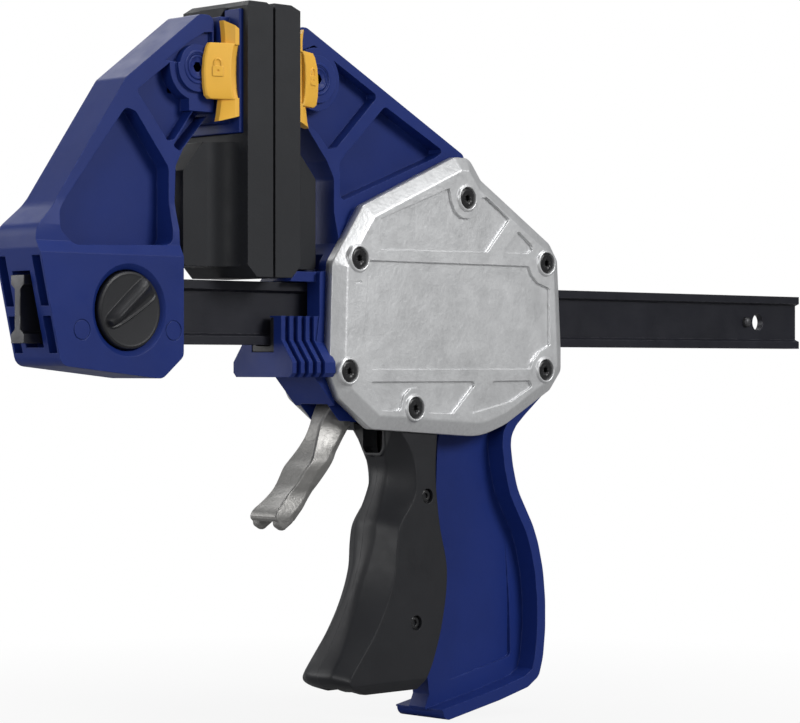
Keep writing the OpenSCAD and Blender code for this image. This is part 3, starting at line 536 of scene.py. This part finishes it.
# ---- covers ----
# Outlines are (X, Z), as seen from the near side
PANEL = 1.1             # depth of the panels
PANEL_STEP = 0.18       # how far their walls lean
PANEL_CORNER = 0.9
COVER_OUTLINE = [(30, 18), (44.6, 38.2), (90.6, 57.6), (97.8, 57.6), (104, 49.9), (141, 27.8),
                 (145.5, 21.5), (147.5, -12), (147.5, -20), (141.3, -27.2), (117, -39.9),
                 (103.4, -44.1), (48.4, -40.4), (33.4, -29.6), (28.6, -20.4)]
COVER_CORNERS = [5, 4, 4, 5, 3, 5, 3, 3, 4, 4, 38, 38, 5, 5, 3]
# The bevelled edge: how far in, height over the face
COVER_BORDER = [(0, -2.9), (0.25, -2.55), (0.7, -2.3), (4.4, -0.28), (4.8, -0.08), (5.3, 0)]
SCALLOP = [(86.4, 41.4), (88.4, 37.6), (91.6, 35.7), (95.6, 35.5), (99.4, 37.2), (101.4, 40.4),
           (101.7, 43.4)]
LOW_SCALLOP = [(74.2, -34.9), (74.4, -30.6), (72.4, -27.3), (69, -25.8), (65.4, -26.3),
               (62.3, -28.8), (60.9, -33.2)]
COVER_PANELS = [
    [(50.4, 33.6), (85.4, 46.2)] + SCALLOP
    + [(104.6, 43.6), (116.9, 35.9), (105, 23.4), (50.4, 22.8)],
    [(111.9, 23.4), (121.6, 31.8), (129, 26.6), (129.4, 25), (126.4, 23.4)],
    [(45, 19), (127.2, 19), (129, 15.6), (132, 13), (138.4, 11), (138.8, -10.4), (133, -13),
     (129.2, -16.6), (128.2, -19.4), (46.6, -19.4), (44.2, -16), (42, -13.4)],
    [(45.4, -23.6), (97.6, -23.6), (98.6, -25), (87, -35.6), (75.6, -35)] + LOW_SCALLOP
    + [(59.6, -34.2), (51.4, -34)],
    [(108.2, -23.6), (127.6, -23.4), (129.2, -25.8), (117.6, -31.4), (94.4, -36)],
]
NICK = [(38.2, 10.5), (41.6, 10.9), (41.6, 11.7), (38.2, 11.3)]


def cover(near):
    """A cast cover with a bevelled edge, raised screw rings and panels sunk in its face.

    The near cover's rings are bored for the screw heads, and the far cover's are closed."""
    features = [(p, PANEL_CORNER, 0, -PANEL, PANEL_STEP) for p in COVER_PANELS]
    if near:
        features.append((NICK, 0.3, 0, -0.5, 0.15))
    node = "cover_plate_near" if near else "cover_plate_far"
    side = -1 if near else 1
    outer, root, seat = 5.1, -4.5, -2.3     # radius of a ring, height of its foot and of its bore
    rim = [(outer, root), (outer, -1), (outer - 0.1, 0.05), (outer - 0.35, 0.55),
           (HEAD_BORE + 0.5, RING_RISE + 0.05)]
    ring = rim + [(HEAD_BORE + 0.1, RING_RISE), (HEAD_BORE, 0.6), (AXIS, 0.6), (AXIS, root)]
    cap = rim + [(2.6, RING_RISE), (2.3, 0.5), (AXIS, 0.4), (AXIS, root)]
    bore = [(HEAD_BORE, seat), (HEAD_BORE, 2)]

    def at_screws(profile):
        return [facing(lathe(profile), s, COVER_Y, side) for s in SCREWS]

    plate = relief(COVER_OUTLINE, COVER_CORNERS, COVER_BORDER, CORE_Y - COVER_Y, features)
    mesh = mesh_from(node, facing(plate, base=COVER_Y, side=side))
    mesh = united(mesh, *at_screws(ring if near else cap))
    if near:
        mesh = cut_out(mesh, *at_screws(bore))
    put(node + "_part", mesh, node)


def cover_heads():
    """Six pan heads with star sockets, on their shanks."""
    tip, notch, depth, crown = 1.5, 1.08, 1.6, 0.3
    star = []
    for k in range(12):
        r = tip if k % 2 else notch
        star.append((r * math.cos(math.pi * k / 6), r * math.sin(math.pi * k / 6)))
    border = [(0, -0.5), (0.15, -0.1), (0.5, 0.16), (1.1, crown)]
    head = relief(circle((0, 0), SCREW_HEAD), 0, border, -2, [(star, 0.25, crown, -depth, 0.1)])
    shank_r, near_end, far_end = 2, -13.5, bound("cover_screws", HIGH, Y)
    shank = lathe([(shank_r, far_end), (shank_r, near_end)], 24)
    lift = 0.1              # of the heads over the cover's face
    parts = []
    for s in SCREWS:
        parts += [facing(head, s, COVER_Y + lift), facing(shank, s, side=1)]
    put("cover_screws_part", mesh_from("cover_screws", join(*parts)), "cover_screws")


# ---- trigger ----
# The near crease of the front: height, X, distance from the middle plane
CREASE = [(-39, 62.4, 10.6), (-41, 62.5, 9.9), (-46, 62.7, 7.4), (-50, 62.9, 5.3),
          (-54.7, 64.7, 4.7), (-59.5, 64.6, 4.4), (-65, 62.6, 4.5), (-70.7, 60.2, 5.0),
          (-74, 58.6, 5.1), (-80.5, 57.8, 5.0), (-88, 56.2, 4.0), (-94, 54.0, 3.5),
          (-98.7, 52.0, 3.4), (-103, 50.2, 3.9), (-113, 44.8, 5.5), (-120, 40.5, 6.5),
          (-124.7, 36.9, 6.8), (-127.6, 35.6, 6.7), (-129.7, 36.6, 6.4), (-131.2, 38.8, 6.1),
          (-132.6, 42, 5.8), (-134.2, 47.5, 5.4)]
# The crease between the side and the front's slanted face, on the side: height, X
FLANK = [(-39, 62.7), (-41.5, 64.2), (-47.9, 69.1), (-54.7, 71.5), (-62.5, 72), (-67.1, 70),
         (-71.5, 66.4), (-75.7, 63.6), (-81.9, 62.4), (-91.7, 61.5), (-102.9, 57.4), (-113.3, 51.3),
         (-122.9, 43.6), (-128.2, 39.6), (-130.4, 39.9), (-132.4, 43), (-134.2, 48.5)]
# The back: height, X
BACK = [(-39, 83.4), (-57, 82.4), (-75, 84.4), (-92, 88.2), (-110, 86), (-124, 81.4), (-131, 77.6),
        (-134.2, 74.8)]
TRIGGER_TOP = bound("trigger_shell_near", HIGH, Z)
TRIGGER_FOOT = bound("trigger_shell_near", LOW, Z)
TRIGGER_SCREWS = [(77.6, -64.9), (72, -110.2)]
# Slots for the yoke's arms and the handle's web: how near to the front, half width
ARM_SLOT = (6.5, 8.2)
WEB_SLOT = (2.6, WEB_Y + 0.6)
# Window through the neck, as (Y, Z), and the X of its raised rim
WINDOW = [(-4.9, -36), (-4.9, -47.4), (-3.6, -49.2), (3.6, -49.2), (4.9, -47.4), (4.9, -36)]
WINDOW_X = 62.6


def along(stations, z, column=1):
    """The column's value at the height z, on a smooth curve through stations that run downward."""
    i = max(k for k in range(len(stations) - 1) if k == 0 or z <= stations[k][0])
    a, b = stations[i], stations[i + 1]

    def slope(k):
        low, high = stations[max(k - 1, 0)], stations[min(k + 1, len(stations) - 1)]
        return (high[column] - low[column]) / (high[0] - low[0])

    span = b[0] - a[0]
    t = (z - a[0]) / span
    return ((2 * t ** 3 - 3 * t * t + 1) * a[column] + (t ** 3 - 2 * t * t + t) * span * slope(i)
            + (3 * t * t - 2 * t ** 3) * b[column] + (t ** 3 - t * t) * span * slope(i + 1))


def heights(top, foot, step):
    """Heights from top to foot, about a step apart."""
    n = round((top - foot) / step)
    return [top + (foot - top) * k / n for k in range(n + 1)]


def trigger_ring(z):
    """Half of the outline at a height, from the middle of the front to the middle of the back."""
    front, y = along(CREASE, z), along(CREASE, z, 2)
    flank, rear = along(FLANK, z), along(BACK, z)
    taper = 0.5 * max(0, -130.5 - z)                    # the toe narrows at its foot
    side = SHELL_Y - taper
    bulge = 0.7 * min(1, max(0, (-52 - z) / 8))         # the front is round below the neck
    a = Vector((front, -y))
    b = Vector((flank, -side))
    way = (b - a).normalized()
    points = [(front - bulge, 0), (front - bulge * 0.8, -y * 0.5), (front - bulge * 0.15, 0.9 - y),
              a + Vector((0.12, 0.1)), a + way * 0.9, a.lerp(b, 0.35), a.lerp(b, 0.65),
              b - way * 0.9, b + Vector((0.05, 0.12)), (flank + 1.0, -side),
              ((flank + rear) / 2, -side), (rear - 1.4, -side), (rear - 0.4, 0.35 - side),
              (rear, 1.4 - side), (rear, 0)]
    return [(p[0], p[1], z) for p in points]


def trigger_slot(wall, half_width):
    """The space behind the trigger's front wall, open at the top, the back and the foot."""
    foot = -130.6
    above, below, behind = -30, -140, 120
    front = [(along(CREASE, z) + wall, z) for z in heights(TRIGGER_TOP, foot, 4)]
    top = [(behind, above), (front[0][0], above)]
    bottom = [(front[-1][0], below), (behind, below)]
    return across(top + front + bottom, -half_width, half_width)


def trigger_mesh(side):
    """A half shell. The near one is made, and the far one is its mirror image."""
    toe = -126              # below it the rings lie closer
    rings = [trigger_ring(z) for z in heights(TRIGGER_TOP, toe, 1.5)]
    rings += [trigger_ring(z) for z in heights(toe, TRIGGER_FOOT, 0.8)[1:]]
    window = rounded(WINDOW, 1.0)
    hole = moved(prism(window, 50, 76), lambda y, z, x: (x, y, z))
    seat_r, seat_floor = 2.7, SHELL_Y - 1.6
    seat = lathe([(AXIS, -20), (seat_r, -20), (seat_r, -seat_floor), (AXIS, -seat_floor)], 32)
    seats = [facing(seat, s, side=1) for s in TRIGGER_SCREWS]
    rim = hoop(window, [(-1.3, -0.6), (-1.3, 0.1), (-0.9, 0.5), (-0.1, 0.5), (0, 0.3), (0, -0.6)])
    rim = moved(rim, lambda y, z, h: (WINDOW_X - h, y, z))
    mesh = united(mesh_from("trigger", loft(rings)), rim)
    mesh = cut_out(mesh, trigger_slot(*ARM_SLOT), trigger_slot(*WEB_SLOT), hole, *seats)
    cut_off(mesh, (0, 0, 0), (0, 1, 0))
    if side > 0:
        for v in mesh.vertices:
            v.co.y = -v.co.y
        mesh.flip_normals()
    return mesh


def trigger():
    for side, node in ((-1, "trigger_shell_near"), (1, "trigger_shell_far")):
        put(node + "_part", trigger_mesh(side), node, bevel=0.25, seam=True)
    head_r, socket_r, depth, crown = 2.45, 1.2, 1.2, 0.05
    border = [(0, -0.4), (0.25, -0.08), (0.7, crown)]
    head = relief(circle((0, 0), head_r, 32), 0, border, -2,
                  [(circle((0, 0), socket_r, 6), 0, crown, -depth, 0.1)])
    sunk = 0.9              # the heads' depth below the shells' sides
    heads = [facing(head, s, SHELL_Y - sunk, side) for s in TRIGGER_SCREWS for side in (-1, 1)]
    put("trigger_screws_part", mesh_from("trigger_screws", join(*heads)), "trigger_screws")


# ---- release lever ----
# Height, front X, width at the front, X of the sides' ridge, rear X
LEVER_ROWS = [(-27.5, 41.5, 10.8, 44.4, 47.6), (-30, 39.8, 9.8, 44.3, 47.6),
              (-33, 37.4, 8.2, 43.8, 47.5), (-36, 35.3, 6.8, 43.1, 47.1),
              (-39.2, 33.6, 5.8, 42.7, 46.2), (-43.7, 31.6, 7, 40.4, 43),
              (-48.2, 29, 10, 37, 39.9), (-51.2, 26.8, 12.2, 33.9, 37.5),
              (-53.6, 24.4, 12.4, 30.9, 35.6), (-56.7, 22.1, 11.5, 28.5, 33.2),
              (-59.6, 20, 10.9, 27, 30.6), (-62.1, 17.4, 10.2, 25.6, 28.3),
              (-65.1, 14, 11.2, 22.8, 25.4), (-67.7, 10.9, 13.1, 19.3, 22.6),
              (-69.4, 9.6, 13.6, 17.2, 20.7), (-70.8, 9.5, 13.7, 15.8, 19.3),
              (-71.8, 10.4, 13.6, 15, 18.4)]
LEVER_WALL = 1.7
LEVER_JOINT = -29       # height below which the CAD lever is replaced
LEVER_LOBE = [(10.2, -69.4), (10.6, -73.4), (13.6, -75.2), (18, -72.4), (19.4, -69)]
LOBE_Y = (3.5, 6.9)     # inner and outer side of a lobe


def lever_ring(z):
    """The channel's outline at a height: front, waving sides and the hollow behind."""
    front, width, ridge, rear = (along(LEVER_ROWS, z, k) for k in (1, 2, 3, 4))
    half = width / 2
    side = max(5.4, half + 0.3)
    a, b, c = Vector((front, half)), Vector((ridge, side)), Vector((rear, side - 0.7))
    web = min(front + 2.4, rear - 2)
    inner = max(half - LEVER_WALL, 1.4)
    outer = [(front + 0.35, half * 0.5), a + Vector((0.1, -0.4)), a + (b - a).normalized() * 0.7,
             a.lerp(b, 0.5), b - (b - a).normalized() * 0.5, b + (c - b).normalized() * 0.5, c,
             (rear, side - 0.7 - LEVER_WALL), (web, inner)]
    near = [(x, -y) for x, y in outer]
    return [(x, y, z) for x, y in near + [(p[0], p[1]) for p in reversed(outer)]]


def lever():
    """A channel with waving sides and a lobe at the foot of each side, under the CAD lever's top."""
    channel = loft([lever_ring(z) for z in heights(LEVER_ROWS[0][0], LEVER_ROWS[-1][0], 0.9)])
    inner, outer = LOBE_Y
    lobes = [upright(pillow(LEVER_LOBE, 1.6, low, high, 1.2))
             for low, high in ((-outer, -inner), (inner, outer))]
    mesh = cleaned("release_lever")
    cut_off(mesh, (0, 0, LEVER_JOINT), (0, 0, -1))
    mesh = united(mesh, channel, *lobes)
    put("release_lever_part", mesh, "release_lever", bevel=0.45, segments=3)


# ---- latches ----
LATCH_BACK = -9.5       # Y, against the swivel jaw
LATCH_FACE = -14.3      # Y
LATCH_GROOVE = -12.8    # Y of the finger groove's floor
LATCH_RIGHT = -13.4     # X, beside the pad
LATCH_STEP = 1.6        # thickness at the left edge of the icon face
# The block with the icon face: height, X of its left edge
LATCH_BODY = [(71.2, -23.8), (72.2, -25), (75, -25.7), (80, -26), (85, -25.5), (88.6, -24.4),
              (90, -23.4)]
# The tabs: height at the left, height at the right, X of the left edge
LATCH_TABS = [[(63.8, 65.7, -20.4), (66, 67, -19.8), (71.8, 71.8, -18.9)],
              [(89.6, 89.6, -17.3), (94, 93, -17.6), (97.8, 95.1, -18.2)]]


def latch_ring(z, left):
    """The block's outline at a height. Its groove is deepest in the middle and runs out at the ends."""
    middle, reach = 80.6, 9.6
    t = max(0, 1 - ((z - middle) / reach) ** 2) ** 0.5
    x = -15.1 - 1.9 * t             # right edge of the icon face
    floor = LATCH_FACE + (LATCH_GROOVE - LATCH_FACE) * t
    return [(left, LATCH_BACK, z), (left, LATCH_BACK + 0.5 - LATCH_STEP, z),
            (left + 0.45, LATCH_BACK - LATCH_STEP, z), (x - 0.6, LATCH_FACE, z), (x, LATCH_FACE, z),
            (x + 0.35, LATCH_FACE + 0.3 * t, z), (x + 0.6, floor, z), (LATCH_RIGHT, floor, z),
            (LATCH_RIGHT, LATCH_BACK, z)]


def latch_tab(rows):
    rings = []
    for low, high, left in rows:
        ring = [(left, LATCH_BACK), (left, LATCH_BACK - 2.2), (left + 1.2, LATCH_BACK - 3.2),
                (-15.2, LATCH_FACE), (LATCH_RIGHT, LATCH_FACE), (LATCH_RIGHT, LATCH_BACK)]
        rise = (high - low) / (LATCH_RIGHT - left)
        rings.append([(x, y, low + rise * (x - left)) for x, y in ring])
    return loft(rings)


def padlock():
    """A raised padlock symbol of (along, height, rise), about its own middle."""
    half, foot, top = 2, -2.6, 1
    outer, inner, shoulder = 1.5, 0.95, 1.9
    arch = [math.radians(a) for a in range(0, 181, 20)]
    shackle = ([(outer, 0.9)]
               + [(outer * math.cos(a), shoulder + 1.7 * math.sin(a)) for a in arch]
               + [(-outer, 0.9), (-inner, 0.9)]
               + [(inner * math.cos(a), shoulder + 1.1 * math.sin(a)) for a in reversed(arch)]
               + [(inner, 0.9)])
    plate = [(-half, foot), (half, foot), (half, top), (-half, top)]
    keyhole = circle((0, -0.7), 0.42, 12)
    return join(relief(plate, 0.5, [(0, 0.05), (0.15, 0.32)], -0.3, [(keyhole, 0, 0.32, -0.05, 0.08)]),
                relief(shackle, 0, [(0, 0.05), (0.1, 0.3)], -0.3))


def latch(side):
    """A snap latch with a slanted icon face, a finger groove and a tab at each end."""
    blocks = [loft([latch_ring(*b) for b in LATCH_BODY])] + [latch_tab(rows) for rows in LATCH_TABS]
    start = Vector((-25.55, LATCH_BACK - LATCH_STEP))
    end = Vector((-17.6, LATCH_FACE))
    way = (end - start).normalized()
    out = Vector((way.y, -way.x))
    mid = start.lerp(end, 0.5)
    symbol_z = 81.2
    blocks.append(moved(padlock(), lambda u, v, h: (*(mid + way * u + out * h), symbol_z + v)))
    part = join(*blocks)
    node = "fixed_latch"
    if side > 0:
        node = "moving_latch"
        part = moved(part, lambda x, y, z: (-x, y, z))
    put(node + "_part", mesh_from(node, part), node, bevel=0.3)


# ---- jaws ----
def fixed_jaw():
    """The CAD jaw with a conical seat round the knob, two ring marks and recesses at the swivel."""
    cone_r, ring_r, floor = 15.2, 13.2, BLOCK_Y - 1.5
    cone = lathe([(AXIS, BLOCK_Y + 1), (cone_r + 1, BLOCK_Y + 1), (cone_r, BLOCK_Y),
                  (ring_r, floor), (AXIS, floor)], 64)
    cuts = [facing(cone, (KNOB_X, 0))]
    mark = hoop(circle((0, 0), 3.4, 32), [(0, -0.25), (0, 0.5), (0.3, 0.5), (0.3, -0.25)])
    cuts += [facing(mark, (x, -6.5), BLOCK_Y) for x in (KNOB_X - 19.4, KNOB_X + 18.4)]
    # a crescent between the boss and the jaw's rim
    rim = [(-19.9, 88.4), (-19.9, 94), (-23.4, 93.6), (-28.5, 90.7), (-33.9, 87.3), (-40.2, 83)]
    boss_r, floor_y, beyond = 7.6, 6.4, 14
    turns = [math.radians(a) for a in range(172, 42, -8)]
    arc = [(-PIVOT[0] + boss_r * math.cos(a), PIVOT[1] + boss_r * math.sin(a)) for a in turns]
    cuts += [across(rim + arc, -beyond, -floor_y), across(rim + arc, floor_y, beyond)]
    softened("fixed_jaw", 0.5, cut_out(nodes["fixed_jaw"].data.copy(), *cuts))


def moving_jaw():
    """The CAD jaw with its side walls cut back beside the lever, a round toe and sunk handle sides."""
    opening = [(34, -27.6), (45, -27.6), (56, -36.8), (56, -42), (34, -42)]
    wall_y, beyond = 7.2, 15
    cuts = [across(opening, -beyond, -wall_y), across(opening, wall_y, beyond)]
    toe_x, toe_z, toe_r = 89.3, -143.3, 3.2
    turns = [math.radians(a) for a in range(180, 281, 10)]
    toe = [(toe_x + toe_r * math.cos(a), toe_z + toe_r * math.sin(a)) for a in turns]
    cuts.append(across(toe + [(89.8, -149), (84, -149), (84, toe_z)], -20, 20))
    cuts += [handle_pocket(-1), handle_pocket(1)]
    softened("moving_jaw_body", 0.5, cut_out(nodes["moving_jaw_body"].data.copy(), *cuts))


def handle_pocket(side):
    """A pocket in the handle's web that deepens away from its diagonal edge."""
    field = [(126.8, -84), (128.9, -106), (129.6, -126.8), (94.6, -133.8)]
    outline = rounded(field, [0.5, 30, 2, 1])
    deepening = 0.05        # per millimetre
    start = Vector(field[0])
    diagonal = (Vector(field[3]) - start).normalized()
    floor = [WEB_Y - deepening * diagonal.cross(p - start) for p in outline]
    part = loft([[(p.x, p.y, WEB_Y + 2) for p in outline],
                 [(p.x, p.y, h) for p, h in zip(outline, floor)]])
    return facing(part, side=side)


def bar_end():
    """Worn steel that shows on the bar's sawn end in the block."""
    half_w, half_h = bound("bar", HIGH, Y), bound("bar", HIGH, Z)
    flange, slope, web = 3, 1.6, 1.5
    corner = [(half_w, -half_h), (half_w, flange - half_h), (web, flange + slope - half_h)]
    right = corner + [(y, -z) for y, z in reversed(corner)]
    section = right + [(-y, z) for y, z in reversed(right)]
    part = relief(section, 0, [(0.15, 0), (0.25, 0.12)], -0.1)
    part = moved(part, lambda u, v, h: (bound("bar", LOW, X) - h, u, v))
    put("bar_end_face", mesh_from("bar_end", part), "bar", stands=False, look=END)


# ---- knob and pins ----
def stop_pin():
    """A short round pin with domed ends, set in the bar's web."""
    sides = [bound("bar_stop_pin", corner, X) for corner in (LOW, HIGH)]
    x, r = sum(sides) / 2, (sides[1] - sides[0]) / 2
    end = 3.4
    half = [(AXIS, end), (r * 0.6, end - 0.1), (r * 0.95, end - 0.6), (r, end - 1)]
    pin = lathe([(d, -y) for d, y in half] + half[::-1], 32)
    put("bar_stop_pin_part", mesh_from("bar_stop_pin", facing(pin, (x, 0), side=1)), "bar_stop_pin",
        look=END)


KNOB_R = 12.7
KNOB_FACE, KNOB_BACK = 12.7, 6.5        # distances from the middle plane
KNOB_NECK = (4.1, 3.8)                  # radius and length of the neck in the block
RIDGE_HALF = 11                         # half the finger ridge's length
RIDGE_AT = (0.8, 2)                     # its middle, before it is turned
RIDGE_TURN = math.radians(41)


def ridge_row(t):
    """The ridge's section of (across, height), from its high side down to the scooped lip.

    t runs from -1 to 1 along the ridge, which narrows and sinks at both ends."""
    rise = max(0, 1 - abs(t) ** 6) ** 0.5
    lip = 0.5 - 4.4 * ((t + 1) / 2) ** 0.7
    crest = RIDGE_AT[1]
    fall = crest - lip
    row = [(5.2, -0.6), (5.1, 0.1), (4.5, 1.4), (3.9, 2.6), (3.3, 3.3), (2.7, 3.6), (crest, 3.4),
           (1.4, 2.7), (1.9 - fall * 0.35, 1.6), (2.0 - fall * 0.65, 0.8), (lip + 0.6, 0.75),
           (lip, 1.1), (lip - 0.5, 0.2), (lip - 0.7, -0.6)]
    return [(crest + (w - crest) * (0.6 + 0.4 * rise), h * rise if h > 0 else h) for w, h in row]


def knob():
    """A round knob with a flat face and a wedge of a finger ridge, scooped below its crest."""
    neck_r, neck = KNOB_NECK
    r, face, back = KNOB_R, KNOB_FACE, KNOB_BACK
    disc = lathe([(AXIS, back - neck), (neck_r, back - neck), (neck_r, back), (r, back),
                  (r, face - 0.8), (r - 0.25, face - 0.25), (r - 0.9, face), (r - 1.5, face - 0.15),
                  (AXIS, face - 0.25)], 64)
    steps, sunk = 15, 0.2
    rings = [[(RIDGE_AT[0] + RIDGE_HALF * k / steps, w, face - sunk + h)
              for w, h in ridge_row(k / steps)] for k in range(-steps, steps + 1)]
    cos, sin = math.cos(RIDGE_TURN), math.sin(RIDGE_TURN)
    ridge = moved(loft(rings), lambda x, y, h: (x * cos - y * sin, x * sin + y * cos, h))
    part = facing(join(disc, ridge), (KNOB_X, 0))
    put("lock_knob_part", mesh_from("lock_knob", part), "lock_knob", bevel=0.15)


def pivot_pin(side):
    """A pin whose head has a hexagon socket in a sunk face, and a collar round it on each boss."""
    at = (PIVOT[0] * side, PIVOT[1])
    boss = bound("fixed_pivot_pin", HIGH, Y)
    head_r, face_r, hexagon_r, shank_r = 4.3, 3.5, 1.9, 3
    crown, sunk, depth = 0.2, 0.1, 1.5
    face = (circle((0, 0), face_r, 36), 0, crown, -sunk, 0.25)
    socket = (circle((0, 0), hexagon_r, 6), 0, -sunk, -depth, 0.1)
    border = [(0, -0.2), (0.25, 0.1), (0.5, crown)]
    head = relief(circle((0, 0), head_r), 0, border, -2.4, [face, socket])
    shank = lathe([(shank_r, boss), (shank_r, 2 - boss)], 32)
    node = "moving_pivot_pin" if side > 0 else "fixed_pivot_pin"
    part = join(facing(head, at, boss), facing(shank, at, side=1))
    put(node + "_part", mesh_from(node, part), node)
    jaw = "moving_jaw_body" if side > 0 else "fixed_jaw"
    collar = lathe([(4.7, -0.4), (4.75, 0.15), (5.0, 0.3), (5.5, 0.3), (5.75, 0.1), (5.8, -0.4)])
    for k, name in ((-1, "near"), (1, "far")):
        ring = mesh_from("boss_ring", facing(collar, at, boss, k))
        put(f"{jaw}_boss_ring_{name}", ring, jaw, stands=False)


# ---- light and floor ----
CENTRE = Vector((0.06, 0, 0))      # middle of the clamp
# Name, place, diameter, power
LAMPS = [("key", (0.55, -1.45, 0.75), 0.7, 17), ("left", (-1.5, -0.6, 0.25), 0.7, 6),
         ("side", (-1.1, 1.15, 0.4), 1.2, 10), ("top", (0.1, -0.2, 1.5), 0.6, 8),
         ("back", (0.5, 1.3, 0.9), 1.0, 6)]


def light_up():
    """Soft lamps round the clamp, and a world that is white to the camera and dim to the rest."""
    for name, at, size, power in LAMPS:
        data = bpy.data.lights.new(name, "AREA")
        data.shape = "DISK"
        data.size = size
        data.energy = power
        obj = bpy.data.objects.new(name, data)
        scene.collection.objects.link(obj)
        obj.location = at
        obj.rotation_euler = (CENTRE - Vector(at)).to_track_quat("-Z", "Y").to_euler()
    world = bpy.data.worlds.new("studio")
    scene.world = world
    world.use_nodes = True
    nt = world.node_tree
    nt.nodes.clear()
    out = nt.nodes.new("ShaderNodeOutputWorld")
    soft = nt.nodes.new("ShaderNodeBackground")
    soft.inputs["Color"].default_value = (0.95, 0.97, 1.0, 1)
    soft.inputs["Strength"].default_value = 0.2
    plain = nt.nodes.new("ShaderNodeBackground")
    plain.inputs["Color"].default_value = (1, 1, 1, 1)
    plain.inputs["Strength"].default_value = 1.0
    path = nt.nodes.new("ShaderNodeLightPath")
    blend = nt.nodes.new("ShaderNodeMixShader")
    nt.links.new(path.outputs["Is Camera Ray"], blend.inputs[0])
    nt.links.new(soft.outputs[0], blend.inputs[1])
    nt.links.new(plain.outputs[0], blend.inputs[2])
    nt.links.new(blend.outputs[0], out.inputs[0])


def lay_floor():
    """A grey floor for the shadow, which the camera sees as white away from the clamp."""
    mesh = bpy.data.meshes.new("floor")
    bm = bmesh.new()
    bmesh.ops.create_circle(bm, cap_ends=True, segments=64, radius=6)
    bm.to_mesh(mesh)
    bm.free()
    floor = bpy.data.objects.new("floor", mesh)
    scene.collection.objects.link(floor)
    floor.location = (CENTRE.x, 0, cad_box[0].z - 0.5 * MM)
    mat = bpy.data.materials.new("pale_floor")
    mat.use_nodes = True
    nt = mat.node_tree
    nt.nodes.clear()
    out = nt.nodes.new("ShaderNodeOutputMaterial")
    pale = nt.nodes.new("ShaderNodeBsdfDiffuse")
    coord = nt.nodes.new("ShaderNodeTexCoord").outputs["Object"]
    nt.links.new(mix(nt, noise(nt, coord, 6.0), (0.31, 0.31, 0.31), (0.34, 0.34, 0.34)),
                 pale.inputs["Color"])
    glow = nt.nodes.new("ShaderNodeEmission")
    glow.inputs["Color"].default_value = (1, 1, 1, 1)
    glow.inputs["Strength"].default_value = 1.0
    # share of white in what the camera sees, by the distance from the middle
    reach = nt.nodes.new("ShaderNodeVectorMath")
    reach.operation = "LENGTH"
    nt.links.new(coord, reach.inputs[0])
    share = ramp(nt, reach.outputs["Value"], 0.08, 0.34, 0.9, 1.0)
    path = nt.nodes.new("ShaderNodeLightPath")
    blend = nt.nodes.new("ShaderNodeMixShader")
    nt.links.new(times(nt, path.outputs["Is Camera Ray"], share), blend.inputs[0])
    nt.links.new(pale.outputs[0], blend.inputs[1])
    nt.links.new(glow.outputs[0], blend.inputs[2])
    nt.links.new(blend.outputs[0], out.inputs[0])
    mesh.materials.append(mat)


make_camera()
light_up()
lay_floor()
for n, material in LOOK.items():
    nodes[n].data.materials.clear()
    nodes[n].data.materials.append(material)

# CAD nodes that only get their edges rounded, and by how much
SOFTENED = {"fixed_pad": 0.6, "moving_pad": 0.6, "fixed_swivel_jaw": 0.4,
            "moving_swivel_jaw": 0.4, "bar_guide": 0.3, "bar": 0.35}
for n, width in SOFTENED.items():
    softened(n, width)
fixed_jaw()
moving_jaw()
stop_pin()
bar_end()
cover(True)
cover(False)
cover_heads()
trigger()
lever()
latch(-1)
latch(1)
knob()
pivot_pin(-1)
pivot_pin(1)

scene.view_settings.view_transform = "Standard"
